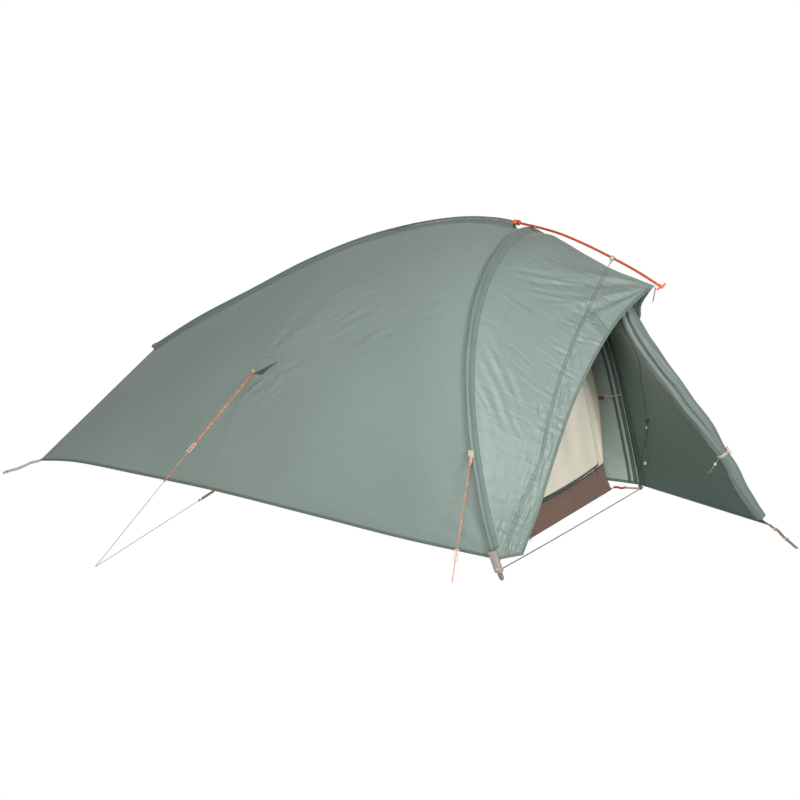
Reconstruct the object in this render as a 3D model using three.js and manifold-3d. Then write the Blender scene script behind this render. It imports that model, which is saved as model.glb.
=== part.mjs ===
// A tent on two poles: a long ridge pole and a hoop pole cross over the front of an outer
// fly, an inner tent with a tub floor hangs underneath, and a porch stands over its door.
//
// Units are millimetres. +X points out of the porch, +Z up, and the near side is -Y. The
// origin is on the ground, under the ridge and half way along the groundsheet. The tent is
// pitched a little askew: the hoop's far half stands steeper, the fly reaches lower there,
// and the groundsheet is drawn towards the far foot.

import * as THREE from 'three';
import { mergeVertices } from 'three/addons/utils/BufferGeometryUtils.js';
import Module from 'manifold-3d';

const wasm = await Module();
wasm.setup();

// ---------------------------------------------------------------- driving dimensions

const CLOTH = 2;                    // thickness that stands for every sheet of cloth
const FLY_BELOW_POLE = 13;          // pole centre line to the face of the fly under it
const SEAM_GAP = 3;                 // each fly panel stops this far from the ridge line

const FOOT_X = 1200;                // the hoop's feet, and how far it leans back per mm up
const HOOP_LEAN = 0.2233;
const HOOP_NEAR = [                 // distance out and height of the hoop's centre line
  [690, 3], [722, 110], [735, 270], [730, 420], [700, 590], [620, 775], [470, 950],
  [260, 1082], [90, 1140],
];
const HOOP_FAR = [
  [695, 3], [702, 110], [694, 270], [682, 420], [655, 590], [585, 775], [452, 950],
  [256, 1082], [90, 1140],
];
const HOOP_TOP = 1151;

const RIDGE_PROFILE = [             // x and height of the ridge pole's centre line
  [-1083, 582], [-772, 738], [-454, 873], [-100, 1022], [250, 1133], [602, 1192],
  [800, 1191], [943, 1165], [1066, 1135], [1170, 1096], [1273, 1050], [1373, 1001],
  [1462, 950],
];
const FLY_RIDGE = [                 // x and height of the fly's own ridge line
  [-1085, 565], [-772, 724], [-454, 859], [-100, 1008], [250, 1119], [602, 1178],
  [800, 1172], [942, 1138],
];
const PORCH_RIDGE = [
  [942, 1138], [1035, 1127], [1070, 1111], [1115, 1088], [1161, 1063], [1217, 1035],
  [1274, 1008], [1317, 991], [1363, 976], [1404, 962], [1446, 948],
];

const REAR_CORNER = { x: -1370, y: 500, z: 55 };
const HEM_NEAR = [                  // the near side's hem between its corner and the hoop
  [-1115, 518, 83], [-605, 555, 90], [-166, 589, 92], [415, 638, 80], [800, 673, 72],
];
const HEM_FAR = [
  [-1115, 518, 83], [-605, 553, 84], [-166, 582, 74], [415, 620, 52], [800, 645, 38],
];
const HEM_AT_HOOP = { near: 68, far: 26 };
const SLEEVE_FOOT = 88;             // height of the hoop sleeve's ends
const WING_CORNER = { x: 1246, y: 633, z: 80 };
const APEX = { x: 1842, y: 268, z: 50 };

const POLE = { outer: 4.4, inner: 3.5, sections: 5, gap: 0.5 };
const SHOCK_CORD_RADIUS = 1.5;
const SLEEVE = { outer: 8.5, inner: 6 };
const SLEEVE_END_X = 885;           // where the ridge pole comes out of its sleeve

const FLOOR = {
  frontX: 1086, frontNear: 480, frontFar: 655, rearX: -1090, rearNear: 350, rearFar: 440,
};
const TUB = {
  frontX: 1071, frontNear: 575, frontFar: 575, rearX: -1080, rearNear: 400, rearFar: 400,
  height: 130, rearHeight: 110,
};
const TUB_DIP = 26;                 // how far the front wall's top edge dips in its middle
const INNER_TOP = { rearX: -1000, rearZ: 500, frontZ: 1055 };
const DOOR_WALL = { x: 1080, lean: 0.12, thickness: 1.6 };
const SUSPENSION_HEIGHT = 420;      // where the inner tent is clipped to the hoop

const CORD_RADIUS = 1.3;
const TETHER_RADIUS = 0.9;

// ---------------------------------------------------------------- small helpers

const at = (x, y, z) => new THREE.Vector3(x, y, z);
const mirrored = (p) => at(p.x, -p.y, p.z);
const through = (points) => new THREE.CatmullRomCurve3(points, false, 'centripetal');
const mix = (a, b, t) => a.clone().lerp(b, t);

const group = new THREE.Group();

const MATERIALS = {
  fly: [0x86998e, 0.62, 0], inside: [0x4c5850, 0.7, 0], cream: [0xd6cebb, 0.8, 0],
  tub: [0x74594d, 0.6, 0], webbing: [0xb0a396, 0.85, 0], strap: [0x7a5d49, 0.85, 0],
  pole: [0xc8501a, 0.35, 0.6], darkPole: [0x4a4c4e, 0.35, 0.7], cord: [0xd07a48, 0.8, 0],
  tether: [0xc4c2bd, 0.8, 0], darkCord: [0x55585a, 0.8, 0], zip: [0x2c4034, 0.6, 0],
  plastic: [0xa9a39c, 0.45, 0], clear: [0xc9cdd0, 0.3, 0], red: [0xa3202c, 0.8, 0],
  metal: [0x9a9c9e, 0.3, 0.9], elastic: [0x2a2c2e, 0.8, 0],
};

function add(name, geometry, finish) {
  const [color, roughness, metalness] = MATERIALS[finish];
  const mesh = new THREE.Mesh(geometry, new THREE.MeshStandardMaterial({ color, roughness, metalness }));
  mesh.name = name;
  group.add(mesh);
  return mesh;
}

// A closed body from indexed points; its faces are turned to point out.
function body(points, triangles) {
  let volume = 0;
  for (let i = 0; i < triangles.length; i += 3) {
    const [a, b, c] = [0, 1, 2].map((k) => points[triangles[i + k]]);
    volume += a.dot(b.clone().cross(c));
  }
  const index = volume < 0 ? triangles.slice().reverse() : triangles;
  const geometry = new THREE.BufferGeometry();
  geometry.setFromPoints(points);
  geometry.setIndex(index);
  geometry.computeVertexNormals();
  return geometry;
}

// Skins a stack of rings of equal count. An open stack is capped at its ends, and a closed
// one joins its last ring to its first, which makes a tube with a bore.
function loft(rings, closed = false) {
  const count = rings[0].length;
  const points = rings.flat();
  const triangles = [];
  const spans = closed ? rings.length : rings.length - 1;
  for (let i = 0; i < spans; i++) {
    const lower = i * count;
    const upper = ((i + 1) % rings.length) * count;
    for (let j = 0; j < count; j++) {
      const k = (j + 1) % count;
      triangles.push(lower + j, lower + k, upper + k, lower + j, upper + k, upper + j);
    }
  }
  if (!closed) {
    const last = (rings.length - 1) * count;
    const first = points.length;
    points.push(centre(rings[0]), centre(rings[rings.length - 1]));
    for (let j = 0; j < count; j++) {
      const k = (j + 1) % count;
      triangles.push(first, k, j, first + 1, last + j, last + k);
    }
  }
  return body(points, triangles);
}

function centre(ring) {
  const sum = at(0, 0, 0);
  ring.forEach((p) => sum.add(p));
  return sum.divideScalar(ring.length);
}

// Circles set square to a curve, between two fractions of its length.
function circlesAlong(curve, radiusAt, sides, steps, from = 0, to = 1) {
  const whole = 400;
  const frames = curve.computeFrenetFrames(whole, false);
  return Array.from({ length: steps + 1 }, (_, i) => {
    const t = from + (to - from) * (i / steps);
    const k = Math.round(t * whole);
    const middle = curve.getPointAt(t);
    return Array.from({ length: sides }, (_, j) => {
      const angle = (j / sides) * 2 * Math.PI;
      const r = radiusAt(i / steps);
      return middle.clone()
        .addScaledVector(frames.normals[k], r * Math.cos(angle))
        .addScaledVector(frames.binormals[k], r * Math.sin(angle));
    });
  });
}

function rod(curve, radius, sides, steps, from = 0, to = 1) {
  return loft(circlesAlong(curve, () => radius, sides, steps, from, to));
}

function tube(curve, outer, inner, sides, steps, from = 0, to = 1) {
  const skin = circlesAlong(curve, () => outer, sides, steps, from, to);
  const bore = circlesAlong(curve, () => inner, sides, steps, from, to).reverse();
  return loft([...skin, ...bore], true);
}

// A flat strap along a list of points, its width set along one direction.
function strap(points, width, thickness, across) {
  const side = across.clone().normalize();
  const rings = points.map((p, i) => {
    const before = points[Math.max(i - 1, 0)];
    const after = points[Math.min(i + 1, points.length - 1)];
    const up = after.clone().sub(before).cross(side).normalize();
    return [[-1, -1], [1, -1], [1, 1], [-1, 1]].map(([s, t]) => p.clone()
      .addScaledVector(side, (s * width) / 2)
      .addScaledVector(up, (t * thickness) / 2));
  });
  return loft(rings);
}

// A sheet of cloth: a surface and its copy set one thickness towards the inside.
function sheet(surface, columns, rows, inside) {
  const step = 1e-3;
  const slope = (u, v, du, dv) => {
    const a = surface(Math.max(u - du, 0), Math.max(v - dv, 0));
    const b = surface(Math.min(u + du, 1), Math.min(v + dv, 1));
    return b.sub(a);
  };
  const normal = (u, v) => slope(u, v, step, 0).cross(slope(u, v, 0, step)).normalize();
  const turn = normal(0.5, 0.5).dot(inside.clone().sub(surface(0.5, 0.5))) > 0 ? 1 : -1;
  const wide = columns + 1;
  const outer = [];
  const inner = [];
  for (let j = 0; j <= rows; j++) {
    for (let i = 0; i <= columns; i++) {
      const [u, v] = [i / columns, j / rows];
      outer.push(surface(u, v));
      inner.push(surface(u, v).addScaledVector(normal(u, v), turn * CLOTH));
    }
  }
  const half = outer.length;
  const triangles = [];
  for (let j = 0; j < rows; j++) {
    for (let i = 0; i < columns; i++) {
      const a = j * wide + i;
      const [b, c, d] = [a + 1, a + wide + 1, a + wide];
      triangles.push(a, b, c, a, c, d);
      triangles.push(half + a, half + c, half + b, half + a, half + d, half + c);
    }
  }
  const rim = [];
  for (let i = 0; i < columns; i++) rim.push(i);
  for (let j = 0; j < rows; j++) rim.push(j * wide + columns);
  for (let i = columns; i > 0; i--) rim.push(rows * wide + i);
  for (let j = rows; j > 0; j--) rim.push(j * wide);
  rim.forEach((a, k) => {
    const b = rim[(k + 1) % rim.length];
    triangles.push(b, a, half + a, b, half + a, half + b);
  });
  return body([...outer, ...inner], triangles);
}

// The surface that fills four edges: rear and front run from top to bottom, top and bottom
// run from rear to front. spread bends how fast the front edge's shape fades to the rear.
function patch(rear, front, top, bottom, spread = 1) {
  return (u, v) => {
    const f = u ** spread;
    const ruled = mix(rear(v), front(v), f);
    const between = mix(top(u), bottom(u), v);
    const corners = mix(mix(top(0), bottom(0), v), mix(top(1), bottom(1), v), f);
    return ruled.add(between).sub(corners);
  };
}

function solid(geometry) {
  const plain = geometry.clone();
  plain.deleteAttribute('normal');
  plain.deleteAttribute('uv');
  const merged = mergeVertices(plain, 1e-4);
  return new wasm.Manifold(new wasm.Mesh({
    numProp: 3,
    vertProperties: new Float32Array(merged.attributes.position.array),
    triVerts: new Uint32Array(merged.index.array),
  }));
}

function geometryOf(shape) {
  const mesh = shape.getMesh();
  const geometry = new THREE.BufferGeometry();
  geometry.setAttribute('position', new THREE.BufferAttribute(mesh.vertProperties, 3));
  geometry.setIndex(new THREE.BufferAttribute(mesh.triVerts, 1));
  geometry.computeVertexNormals();
  return geometry;
}

// Places a mesh at a point with its own Z along one direction.
function stand(mesh, position, direction) {
  mesh.position.copy(position);
  mesh.quaternion.setFromUnitVectors(at(0, 0, 1), direction.clone().normalize());
  return mesh;
}

// ---------------------------------------------------------------- pole lines

const hoopX = (z) => FOOT_X - HOOP_LEAN * z;

// The hoop's line from the near foot to the far foot.
function hoopLine() {
  const near = HOOP_NEAR.map(([y, z]) => at(hoopX(z), -y, z));
  const far = HOOP_FAR.map(([y, z]) => at(hoopX(z), y, z)).reverse();
  return through([...near, at(hoopX(HOOP_TOP), 0, HOOP_TOP), ...far]);
}

const hoop = hoopLine();
const ridge = through(RIDGE_PROFILE.map(([x, z]) => at(x, 0, z)));

// The fraction of a curve's length at which one coordinate first passes a value, looking
// from the curve's start, or backwards from its end.
function fractionWhere(curve, axis, value, backwards = false) {
  const steps = 2000;
  const fraction = (i) => (backwards ? 1 - i / steps : i / steps);
  const side = (i) => Math.sign(curve.getPointAt(fraction(i))[axis] - value);
  for (let i = 1; i <= steps; i++) {
    if (side(i) !== side(0)) return fraction(i);
  }
  return fraction(steps);
}

const hoopNearAt = (z) => fractionWhere(hoop, 'z', z);
const hoopFarAt = (z) => fractionWhere(hoop, 'z', z, true);
const hoopTop = fractionWhere(hoop, 'y', 0);

// The fly's edge under one half of the hoop, from the ridge down to the hem.
const flyUnderHoop = (side, hemAt) => (v) => {
  const t = hoopTop + (hemAt - hoopTop) * v;
  const inward = at(1, 0, HOOP_LEAN).normalize().cross(hoop.getTangentAt(t)).normalize();
  const p = hoop.getPointAt(t);
  if (inward.dot(at(p.x, 0, 500).sub(p)) < 0) inward.negate();
  p.addScaledVector(inward, FLY_BELOW_POLE);
  p.y = side * Math.max(side * p.y, SEAM_GAP);
  return p;
};

const seamLine = (profile) => {
  const curve = through(profile.map(([x, z]) => at(x, -SEAM_GAP, z)));
  return (u) => curve.getPointAt(u);
};

const flyTop = seamLine(FLY_RIDGE);
const porchTop = seamLine(PORCH_RIDGE);

// ---------------------------------------------------------------- fly

const NEAR = -1;                    // which way each side lies along Y
const FAR = 1;
const nearHoop = flyUnderHoop(NEAR, hoopNearAt(HEM_AT_HOOP.near));
const farHoop = flyUnderHoop(FAR, hoopFarAt(HEM_AT_HOOP.far));
const rearCorner = at(REAR_CORNER.x, -REAR_CORNER.y, REAR_CORNER.z);
const ridgeEnd = flyTop(0);
const tip = porchTop(1);
const wingCorner = at(WING_CORNER.x, -WING_CORNER.y, WING_CORNER.z);
const apex = at(APEX.x, APEX.y, APEX.z);
const CABIN = at(0, 0, 300);        // a point inside the tent, for facing the cloth
const PORCH_INSIDE = at(1350, 0, 300);

const crease = (v) => mix(ridgeEnd, rearCorner, v);
const nearHemCurve = through([
  rearCorner, ...HEM_NEAR.map(([x, y, z]) => at(x, NEAR * y, z)), nearHoop(1)]);
const farHemCurve = through([
  mirrored(rearCorner), ...HEM_FAR.map(([x, y, z]) => at(x, FAR * y, z)), farHoop(1)]);
const nearHem = (u) => nearHemCurve.getPointAt(u);
const farHem = (u) => farHemCurve.getPointAt(u);
const CREASE_SPREAD = 1.25;         // how slowly the hoop's curve fades towards the rear
const flyNear = patch(crease, nearHoop, flyTop, nearHem, CREASE_SPREAD);
const flyFar = patch(
  (v) => mirrored(crease(v)), farHoop, (u) => mirrored(flyTop(u)), farHem, CREASE_SPREAD);

add('fly_near_side', sheet(flyNear, 20, 12, CABIN), 'fly');
add('fly_far_side', sheet(flyFar, 20, 12, CABIN), 'fly');

// The rear panel hangs from the ridge's end between the two creases.
const REAR_INSET = 8;
function flyRear(u, v) {
  const edge = crease(0.05 + 0.95 * v);
  edge.y += REAR_INSET;
  const p = mix(edge, mirrored(edge), u);
  p.x += 55 * v * Math.sin(Math.PI * u);
  return p;
}
add('fly_rear_panel', sheet(flyRear, 8, 8, CABIN), 'fly');

// The near porch wing runs from the hoop forward to the opening's edge.
const wingEdgeCurve = through([
  tip, at(1380, -170, 830), at(1328, -385, 605), at(1308, -535, 390), at(1286, -602, 225),
  wingCorner,
]);
const WING_GAP = 5;                 // the wings start this far in front of the fly's sides
const forward = (edge) => (v) => edge(v).add(at(WING_GAP, 0, 0));
const wingTop = (u) => {
  const p = porchTop(u);
  p.x += WING_GAP * (1 - u);
  return p;
};
const nearWingRear = forward(nearHoop);
const nearWingHem = (u) => mix(nearWingRear(1), wingCorner, u);
const wingEdge = (v) => wingEdgeCurve.getPointAt(v);
const WING_SPREAD = 0.9;
const porchNear = patch(nearWingRear, wingEdge, wingTop, nearWingHem, WING_SPREAD);
add('porch_near_wing', sheet(porchNear, 8, 14, PORCH_INSIDE), 'fly');

// The near half of the porch door is rolled up along the far wing's free edge. The roll is
// drawn in where its tie holds it.
const rollCurve = through([
  at(1337, 0, 874), at(1354, 8, 833), at(1411, 20, 736), at(1467, 42, 649),
  at(1516, 62, 583), at(1564, 88, 509), at(1614, 118, 438), at(1668, 150, 346),
  at(1705, 176, 283), at(1740, 199, 206), at(1782, 227, 129), at(1812, 248, 82),
]);
const ROLL_RADII = [27, 33, 36, 36, 35, 34, 31, 21, 25, 24, 20];
const rollRadius = (t) => {
  const place = t * (ROLL_RADII.length - 1);
  const k = Math.min(Math.floor(place), ROLL_RADII.length - 2);
  return THREE.MathUtils.lerp(ROLL_RADII[k], ROLL_RADII[k + 1], place - k);
};
add('rolled_porch_door', loft(circlesAlong(rollCurve, rollRadius, 12, 20)), 'fly');

// The far porch wing runs on to the apex, where it is strapped down. Its free edge lies
// against the roll.
const ROLL_TOUCH = 45;             // the edge's distance from the roll's middle
const besideRoll = (t) => rollCurve.getPointAt(t).addScaledVector(at(-0.84, 0.54, 0), ROLL_TOUCH);
const farTip = mirrored(tip);
const apexEdgeCurve = through([
  farTip, at(1392, 30, 872), at(1389, 37, 835), at(1373, 60, 790),
  ...[0.25, 0.4, 0.6, 0.8, 0.96].map(besideRoll), apex,
]);
const apexEdge = (v) => apexEdgeCurve.getPointAt(v);
const farWingRear = forward(farHoop);
const farWingTop = (u) => mirrored(wingTop(u));
const farWingHem = (u) => mix(farWingRear(1), apex, u);
const porchFar = patch(farWingRear, apexEdge, farWingTop, farWingHem, WING_SPREAD);
add('porch_far_wing', sheet(porchFar, 12, 16, PORCH_INSIDE), 'fly');

// ---------------------------------------------------------------- sleeves and poles

add('hoop_sleeve', tube(
  hoop, SLEEVE.outer, SLEEVE.inner, 8, 44, hoopNearAt(SLEEVE_FOOT), hoopFarAt(SLEEVE_FOOT)), 'inside');
const sleeveEnd = fractionWhere(ridge, 'x', SLEEVE_END_X);
add('ridge_sleeve', tube(ridge, SLEEVE.outer, SLEEVE.inner, 8, 26, 0.012, sleeveEnd), 'fly');

function poleSections(name, finish, curve, from, to) {
  const share = (to - from) / POLE.sections;
  const gap = POLE.gap / curve.getLength();
  for (let i = 0; i < POLE.sections; i++) {
    const start = from + i * share;
    const section = tube(curve, POLE.outer, POLE.inner, 8, 8, start, start + share - gap);
    add(`${name}_${i + 1}`, section, finish);
  }
}

poleSections('ridge_pole_section', 'pole', ridge, 0.004, 1);
poleSections('hoop_pole_section', 'darkPole', hoop, 0, 1);
add('ridge_shock_cord', rod(ridge, SHOCK_CORD_RADIUS, 6, 34, 0.006, 0.992), 'elastic');
add('hoop_shock_cord', rod(hoop, SHOCK_CORD_RADIUS, 6, 40, 0.003, 0.997), 'elastic');

// The stiff mouth of the ridge sleeve, where the bare pole starts.
const MOUTH_LENGTH = 24;
const mouthStart = sleeveEnd + 0.5 / ridge.getLength();
const mouthEnd = mouthStart + MOUTH_LENGTH / ridge.getLength();
add('ridge_sleeve_mouth', tube(ridge, 9.5, 5.5, 12, 2, mouthStart, mouthEnd), 'pole');

// The cup at the ridge pole's rear end, sewn to the fly.
const ridgeStart = ridge.getPointAt(0);
const ridgeBack = ridge.getTangentAt(0).negate();
const cup = new THREE.LatheGeometry(
  [[0, 0.5], [9, 0.5], [9, 14], [7, 18], [0, 18]].map(([r, z]) => new THREE.Vector2(r, z)), 12);
cup.rotateX(Math.PI / 2);
stand(add('ridge_rear_cup', cup, 'webbing'), ridgeStart.clone().addScaledVector(ridgeBack, 0.5), ridgeBack);

// The end fitting on the ridge pole's tip: a cap with a cross bar that the fly hooks onto.
const ridgeFinish = ridge.getPointAt(1);
const ridgeAhead = ridge.getTangentAt(1);
const BAR = { radius: 3, length: 40, tilt: -1.177, along: 12 };
function tipFitting() {
  const cap = new THREE.CylinderGeometry(6.2, 5, 18, 12);
  cap.rotateX(Math.PI / 2).translate(0, 0, 9.5);
  const bar = new THREE.CylinderGeometry(BAR.radius, BAR.radius, BAR.length, 10);
  bar.rotateX(Math.PI / 2).rotateY(BAR.tilt).translate(0, 0, BAR.along);
  return geometryOf(solid(cap).add(solid(bar)));
}
stand(add('ridge_tip_fitting', tipFitting(), 'pole'), ridgeFinish, ridgeAhead);

// ---------------------------------------------------------------- hoop feet

const FOOT = { top: 84, bottom: 14, outer: 10.5, inner: 6 };
const pocket = (from, to) => tube(hoop, FOOT.outer, FOOT.inner, 8, 4, from, to);
add('hoop_pocket_near', pocket(hoopNearAt(FOOT.bottom), hoopNearAt(FOOT.top)), 'webbing');
add('hoop_pocket_far', pocket(hoopFarAt(FOOT.top), hoopFarAt(FOOT.bottom)), 'webbing');

// A cord runs from foot to foot, just in front of the poles.
const footCordAt = (y, z) => at(hoopX(z) + FOOT.outer + 2, y, z);
const footCord = through([
  footCordAt(-700, 44), footCordAt(-350, 35), footCordAt(0, 28), footCordAt(350, 22),
  footCordAt(700, 16),
]);
add('foot_to_foot_cord', rod(footCord, CORD_RADIUS, 8, 24), 'darkCord');

// ---------------------------------------------------------------- inner tent

// A ring round the tub, corner to corner, with each side cut into a few stretches.
function tubRing(size, inset, heightAt) {
  const [front, rear] = [size.frontX - inset, size.rearX + inset];
  const corners = [
    at(rear, inset - size.rearNear, 0), at(front, inset - size.frontNear, 0),
    at(front, size.frontFar - inset, 0), at(rear, size.rearFar - inset, 0),
  ];
  const stretches = 8;
  return corners.flatMap((corner, side) => {
    const next = corners[(side + 1) % corners.length];
    return Array.from({ length: stretches }, (_, i) => {
      const p = mix(corner, next, i / stretches);
      p.z = heightAt(p, side);
      return p;
    });
  });
}

const tubTop = (y) => TUB.height - TUB_DIP * (1 - (y / TUB.frontFar) ** 2);
const tubRim = (p, side) => (side === 1 ? tubTop(p.y) : THREE.MathUtils.mapLinear(
  p.x, TUB.rearX, TUB.frontX, TUB.rearHeight, TUB.height));
add('groundsheet_tub', loft([
  tubRing(FLOOR, 0, () => 0),
  tubRing(TUB, 0, tubRim),
  tubRing(TUB, CLOTH, tubRim),
  tubRing(FLOOR, CLOTH + 4, () => CLOTH),
]), 'tub');

// The inner tent's front arch, as half width and height, in the plane of the door wall.
const ARCH = [
  [574, 134], [580, 270], [573, SUSPENSION_HEIGHT], [508, 590], [405, 750], [275, 895],
  [140, 1000], [0, INNER_TOP.frontZ],
];
const wallX = (z) => DOOR_WALL.x - DOOR_WALL.lean * z;
const archCurve = through(ARCH.map(([y, z]) => at(wallX(z), -y, z)));
const innerFront = (v) => archCurve.getPointAt(1 - v).add(at(-4, 0, 0));
const innerRidgeCurve = through([
  at(INNER_TOP.rearX, 0, INNER_TOP.rearZ), at(-454, 0, 775), at(60, 0, 975), at(560, 0, 1072),
  innerFront(0),
]);
const innerTop = (u) => {
  const p = innerRidgeCurve.getPointAt(u);
  p.y = -SEAM_GAP;
  return p;
};
const innerRear = (v) => mix(innerTop(0), at(TUB.rearX, -TUB.rearNear, TUB.rearHeight + 3), v);
const innerHem = (u) => mix(innerRear(1), innerFront(1), u);
const innerNear = patch(innerRear, innerFront, innerTop, innerHem, 1.25);
add('inner_near_wall', sheet((u, v) => clearOfRidge(innerNear(u, v)), 14, 10, CABIN), 'cream');
add('inner_far_wall', sheet((u, v) => mirrored(clearOfRidge(innerNear(u, v))), 14, 10, CABIN), 'cream');

function clearOfRidge(p) {
  p.y = Math.min(p.y, -SEAM_GAP);
  return p;
}

function innerRearWall(u, v) {
  const side = innerRear(v);
  const p = mix(side, mirrored(side), u);
  p.x -= 4;
  return p;
}
add('inner_rear_wall', sheet(innerRearWall, 4, 6, CABIN), 'cream');

// The door wall is a flat arch. Its outlines are drawn as (y, height up the wall), and the
// wall plane leans back over the cabin.
const leanAngle = Math.atan(DOOR_WALL.lean);
const wallBasis = new THREE.Matrix4().makeBasis(
  at(0, 1, 0),
  at(-Math.sin(leanAngle), 0, Math.cos(leanAngle)),
  at(Math.cos(leanAngle), 0, Math.sin(leanAngle)));
wallBasis.setPosition(DOOR_WALL.x, 0, 0);
const onWall = (y, z) => new THREE.Vector2(y, z / Math.cos(leanAngle));

const ZIP = { width: 7, clearance: 1, depth: 3 };
const zipHeight = (y) => tubTop(y) + 5;

// The door: a straight sewn edge on the far side, a zip round all the rest.
const HINGE = { low: [520, zipHeight(520) + 9], high: [385, 740] };
const doorTopPoints = [HINGE.high, [262, 858], [125, 940], [0, 965], [-130, 938], [-265, 855],
  [-385, 735], [-462, 590], [-508, 430], [-520, 270], HINGE.low.map((c, i) => (i ? c : -c))];
const doorBottomPoints = [-400, -270, -135, 0, 135, 270, 400, 498].map((y) => [y, zipHeight(y) + 9]);

const doorTop = new THREE.SplineCurve(doorTopPoints.map(([y, z]) => onWall(y, z))).getPoints(36);
const doorBottom = doorBottomPoints.map(([y, z]) => onWall(y, z));
const doorOutline = [...doorTop, ...doorBottom, onWall(...HINGE.low)];

// Moves an outline outwards; an open run keeps its ends' own directions.
function offset(points, distance, closed) {
  const count = points.length;
  return points.map((p, i) => {
    const before = closed ? points[(i + count - 1) % count] : points[Math.max(i - 1, 0)];
    const after = closed ? points[(i + 1) % count] : points[Math.min(i + 1, count - 1)];
    const along = after.clone().sub(before).normalize();
    return p.clone().add(new THREE.Vector2(along.y, -along.x).multiplyScalar(distance));
  });
}

// A flat piece of the door wall: an outline extruded square to the wall.
function wallSlab(outline, depth, lift) {
  const geometry = new THREE.ExtrudeGeometry(new THREE.Shape(outline), { depth, bevelEnabled: false });
  geometry.translate(0, 0, lift);
  return geometry.applyMatrix4(wallBasis);
}

const archPoints = archCurve.getPoints(24).map((p) => onWall(p.y, p.z));
const archMirror = archPoints.slice(0, -1).reverse().map((p) => new THREE.Vector2(-p.x, p.y));
const tubEdge = [430, 290, 145, 0, -145, -290, -430].map((y) => onWall(y, tubTop(y) + 2));
const outward = THREE.ShapeUtils.isClockWise(doorOutline) ? -1 : 1;
const doorHole = offset(doorOutline, outward * (ZIP.width + 2 * ZIP.clearance), true);
const wall = solid(wallSlab([...archPoints, ...archMirror, ...tubEdge], DOOR_WALL.thickness, 0))
  .subtract(solid(wallSlab(doorHole, DOOR_WALL.thickness + 10, -5)));
add('inner_door_wall', geometryOf(wall), 'cream');
add('inner_door', wallSlab(doorOutline, DOOR_WALL.thickness, 0), 'cream');

// The zip runs round the door from the top of its sewn edge to the bottom of it.
const zipRun = doorOutline.slice(1, -1);
const zipOuter = offset(zipRun, outward * (ZIP.clearance + ZIP.width), false);
const zipInner = offset(zipRun, outward * ZIP.clearance, false).reverse();
add('inner_door_zip', wallSlab([...zipOuter, ...zipInner], ZIP.depth, -1), 'zip');

// The slider stands on the zip's bottom run, and its pull hangs in front of the tub.
const SLIDER = { width: 16, height: 7, depth: 5, y: 470, travelTo: 60 };
const PULL = { width: 6, length: 30, thickness: 1.6 };
const wallPoint = (y, z, lift) => at(
  wallX(z) + lift * Math.cos(leanAngle), y, z + lift * Math.sin(leanAngle));
const sliderSeat = wallPoint(SLIDER.y, zipHeight(SLIDER.y) + 1, ZIP.depth);
const sliderEnd = wallPoint(SLIDER.travelTo, zipHeight(SLIDER.travelTo) + 1, ZIP.depth);

function sliderShape() {
  const plate = new THREE.BoxGeometry(SLIDER.depth, SLIDER.width, SLIDER.height);
  const bridge = new THREE.TorusGeometry(3.2, 1, 6, 12);
  bridge.rotateX(Math.PI / 2).translate(SLIDER.depth / 2, 0, 0);
  return geometryOf(solid(plate).add(solid(bridge)));
}
// The pull is a flat tab that hangs from its eye; its pivot is the eye's middle.
function pullShape() {
  const tab = new THREE.Shape();
  tab.moveTo(-PULL.width / 2, 0);
  tab.lineTo(-PULL.width / 2, -PULL.length + 3);
  tab.absarc(0, -PULL.length + 3, PULL.width / 2, Math.PI, 2 * Math.PI, false);
  tab.lineTo(PULL.width / 2, 0);
  tab.holes.push(new THREE.Path().absarc(0, -PULL.length + 5, 1.6, 0, 2 * Math.PI, true));
  const geometry = new THREE.ExtrudeGeometry(
    tab, { depth: PULL.thickness, bevelEnabled: false, curveSegments: 5 });
  return geometry.translate(0, 0, -PULL.thickness / 2).rotateX(Math.PI / 2).rotateZ(Math.PI / 2);
}
const slider = add('inner_zip_slider', sliderShape(), 'metal');
slider.position.copy(sliderSeat).add(at(SLIDER.depth / 2 + 0.4, 0, 0));
const pull = add('inner_zip_pull', pullShape(), 'cord');
pull.position.copy(slider.position).add(at(SLIDER.depth / 2 + 5.4, 0, -1));

// A clip on each side holds the arch to the hoop.
const archAt = (side, out) => at(
  wallX(SUSPENSION_HEIGHT) + 1, side * (ARCH[2][0] + out), SUSPENSION_HEIGHT);
const clipFor = (side, hoopAt) => {
  const from = archAt(side, 4);
  const to = hoop.getPointAt(hoopAt(SUSPENSION_HEIGHT + 6)).add(at(-10, -side * 24, 0));
  return strap([from, mix(from, to, 0.5), to], 12, 2.4, at(0, 0, 1));
};
add('inner_clip_near', clipFor(NEAR, hoopNearAt), 'plastic');
add('inner_clip_far', clipFor(FAR, hoopFarAt), 'plastic');

// A strap on each side ties the tub's front corner to the hoop's foot.
const floorStrap = (corner, foot) => strap([corner, mix(corner, foot, 0.5), foot], 9, 1.6, at(0, 0, 1));
add('floor_strap_near', floorStrap(
  at(FLOOR.frontX + 1.2, -FLOOR.frontNear - 1.2, 7), at(1183, -684, 22)), 'red');
add('floor_strap_far', floorStrap(
  at(FLOOR.frontX + 1.2, FLOOR.frontFar + 1.2, 7), at(1184, 683, 9)), 'red');

// ---------------------------------------------------------------- guylines and straps

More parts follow.
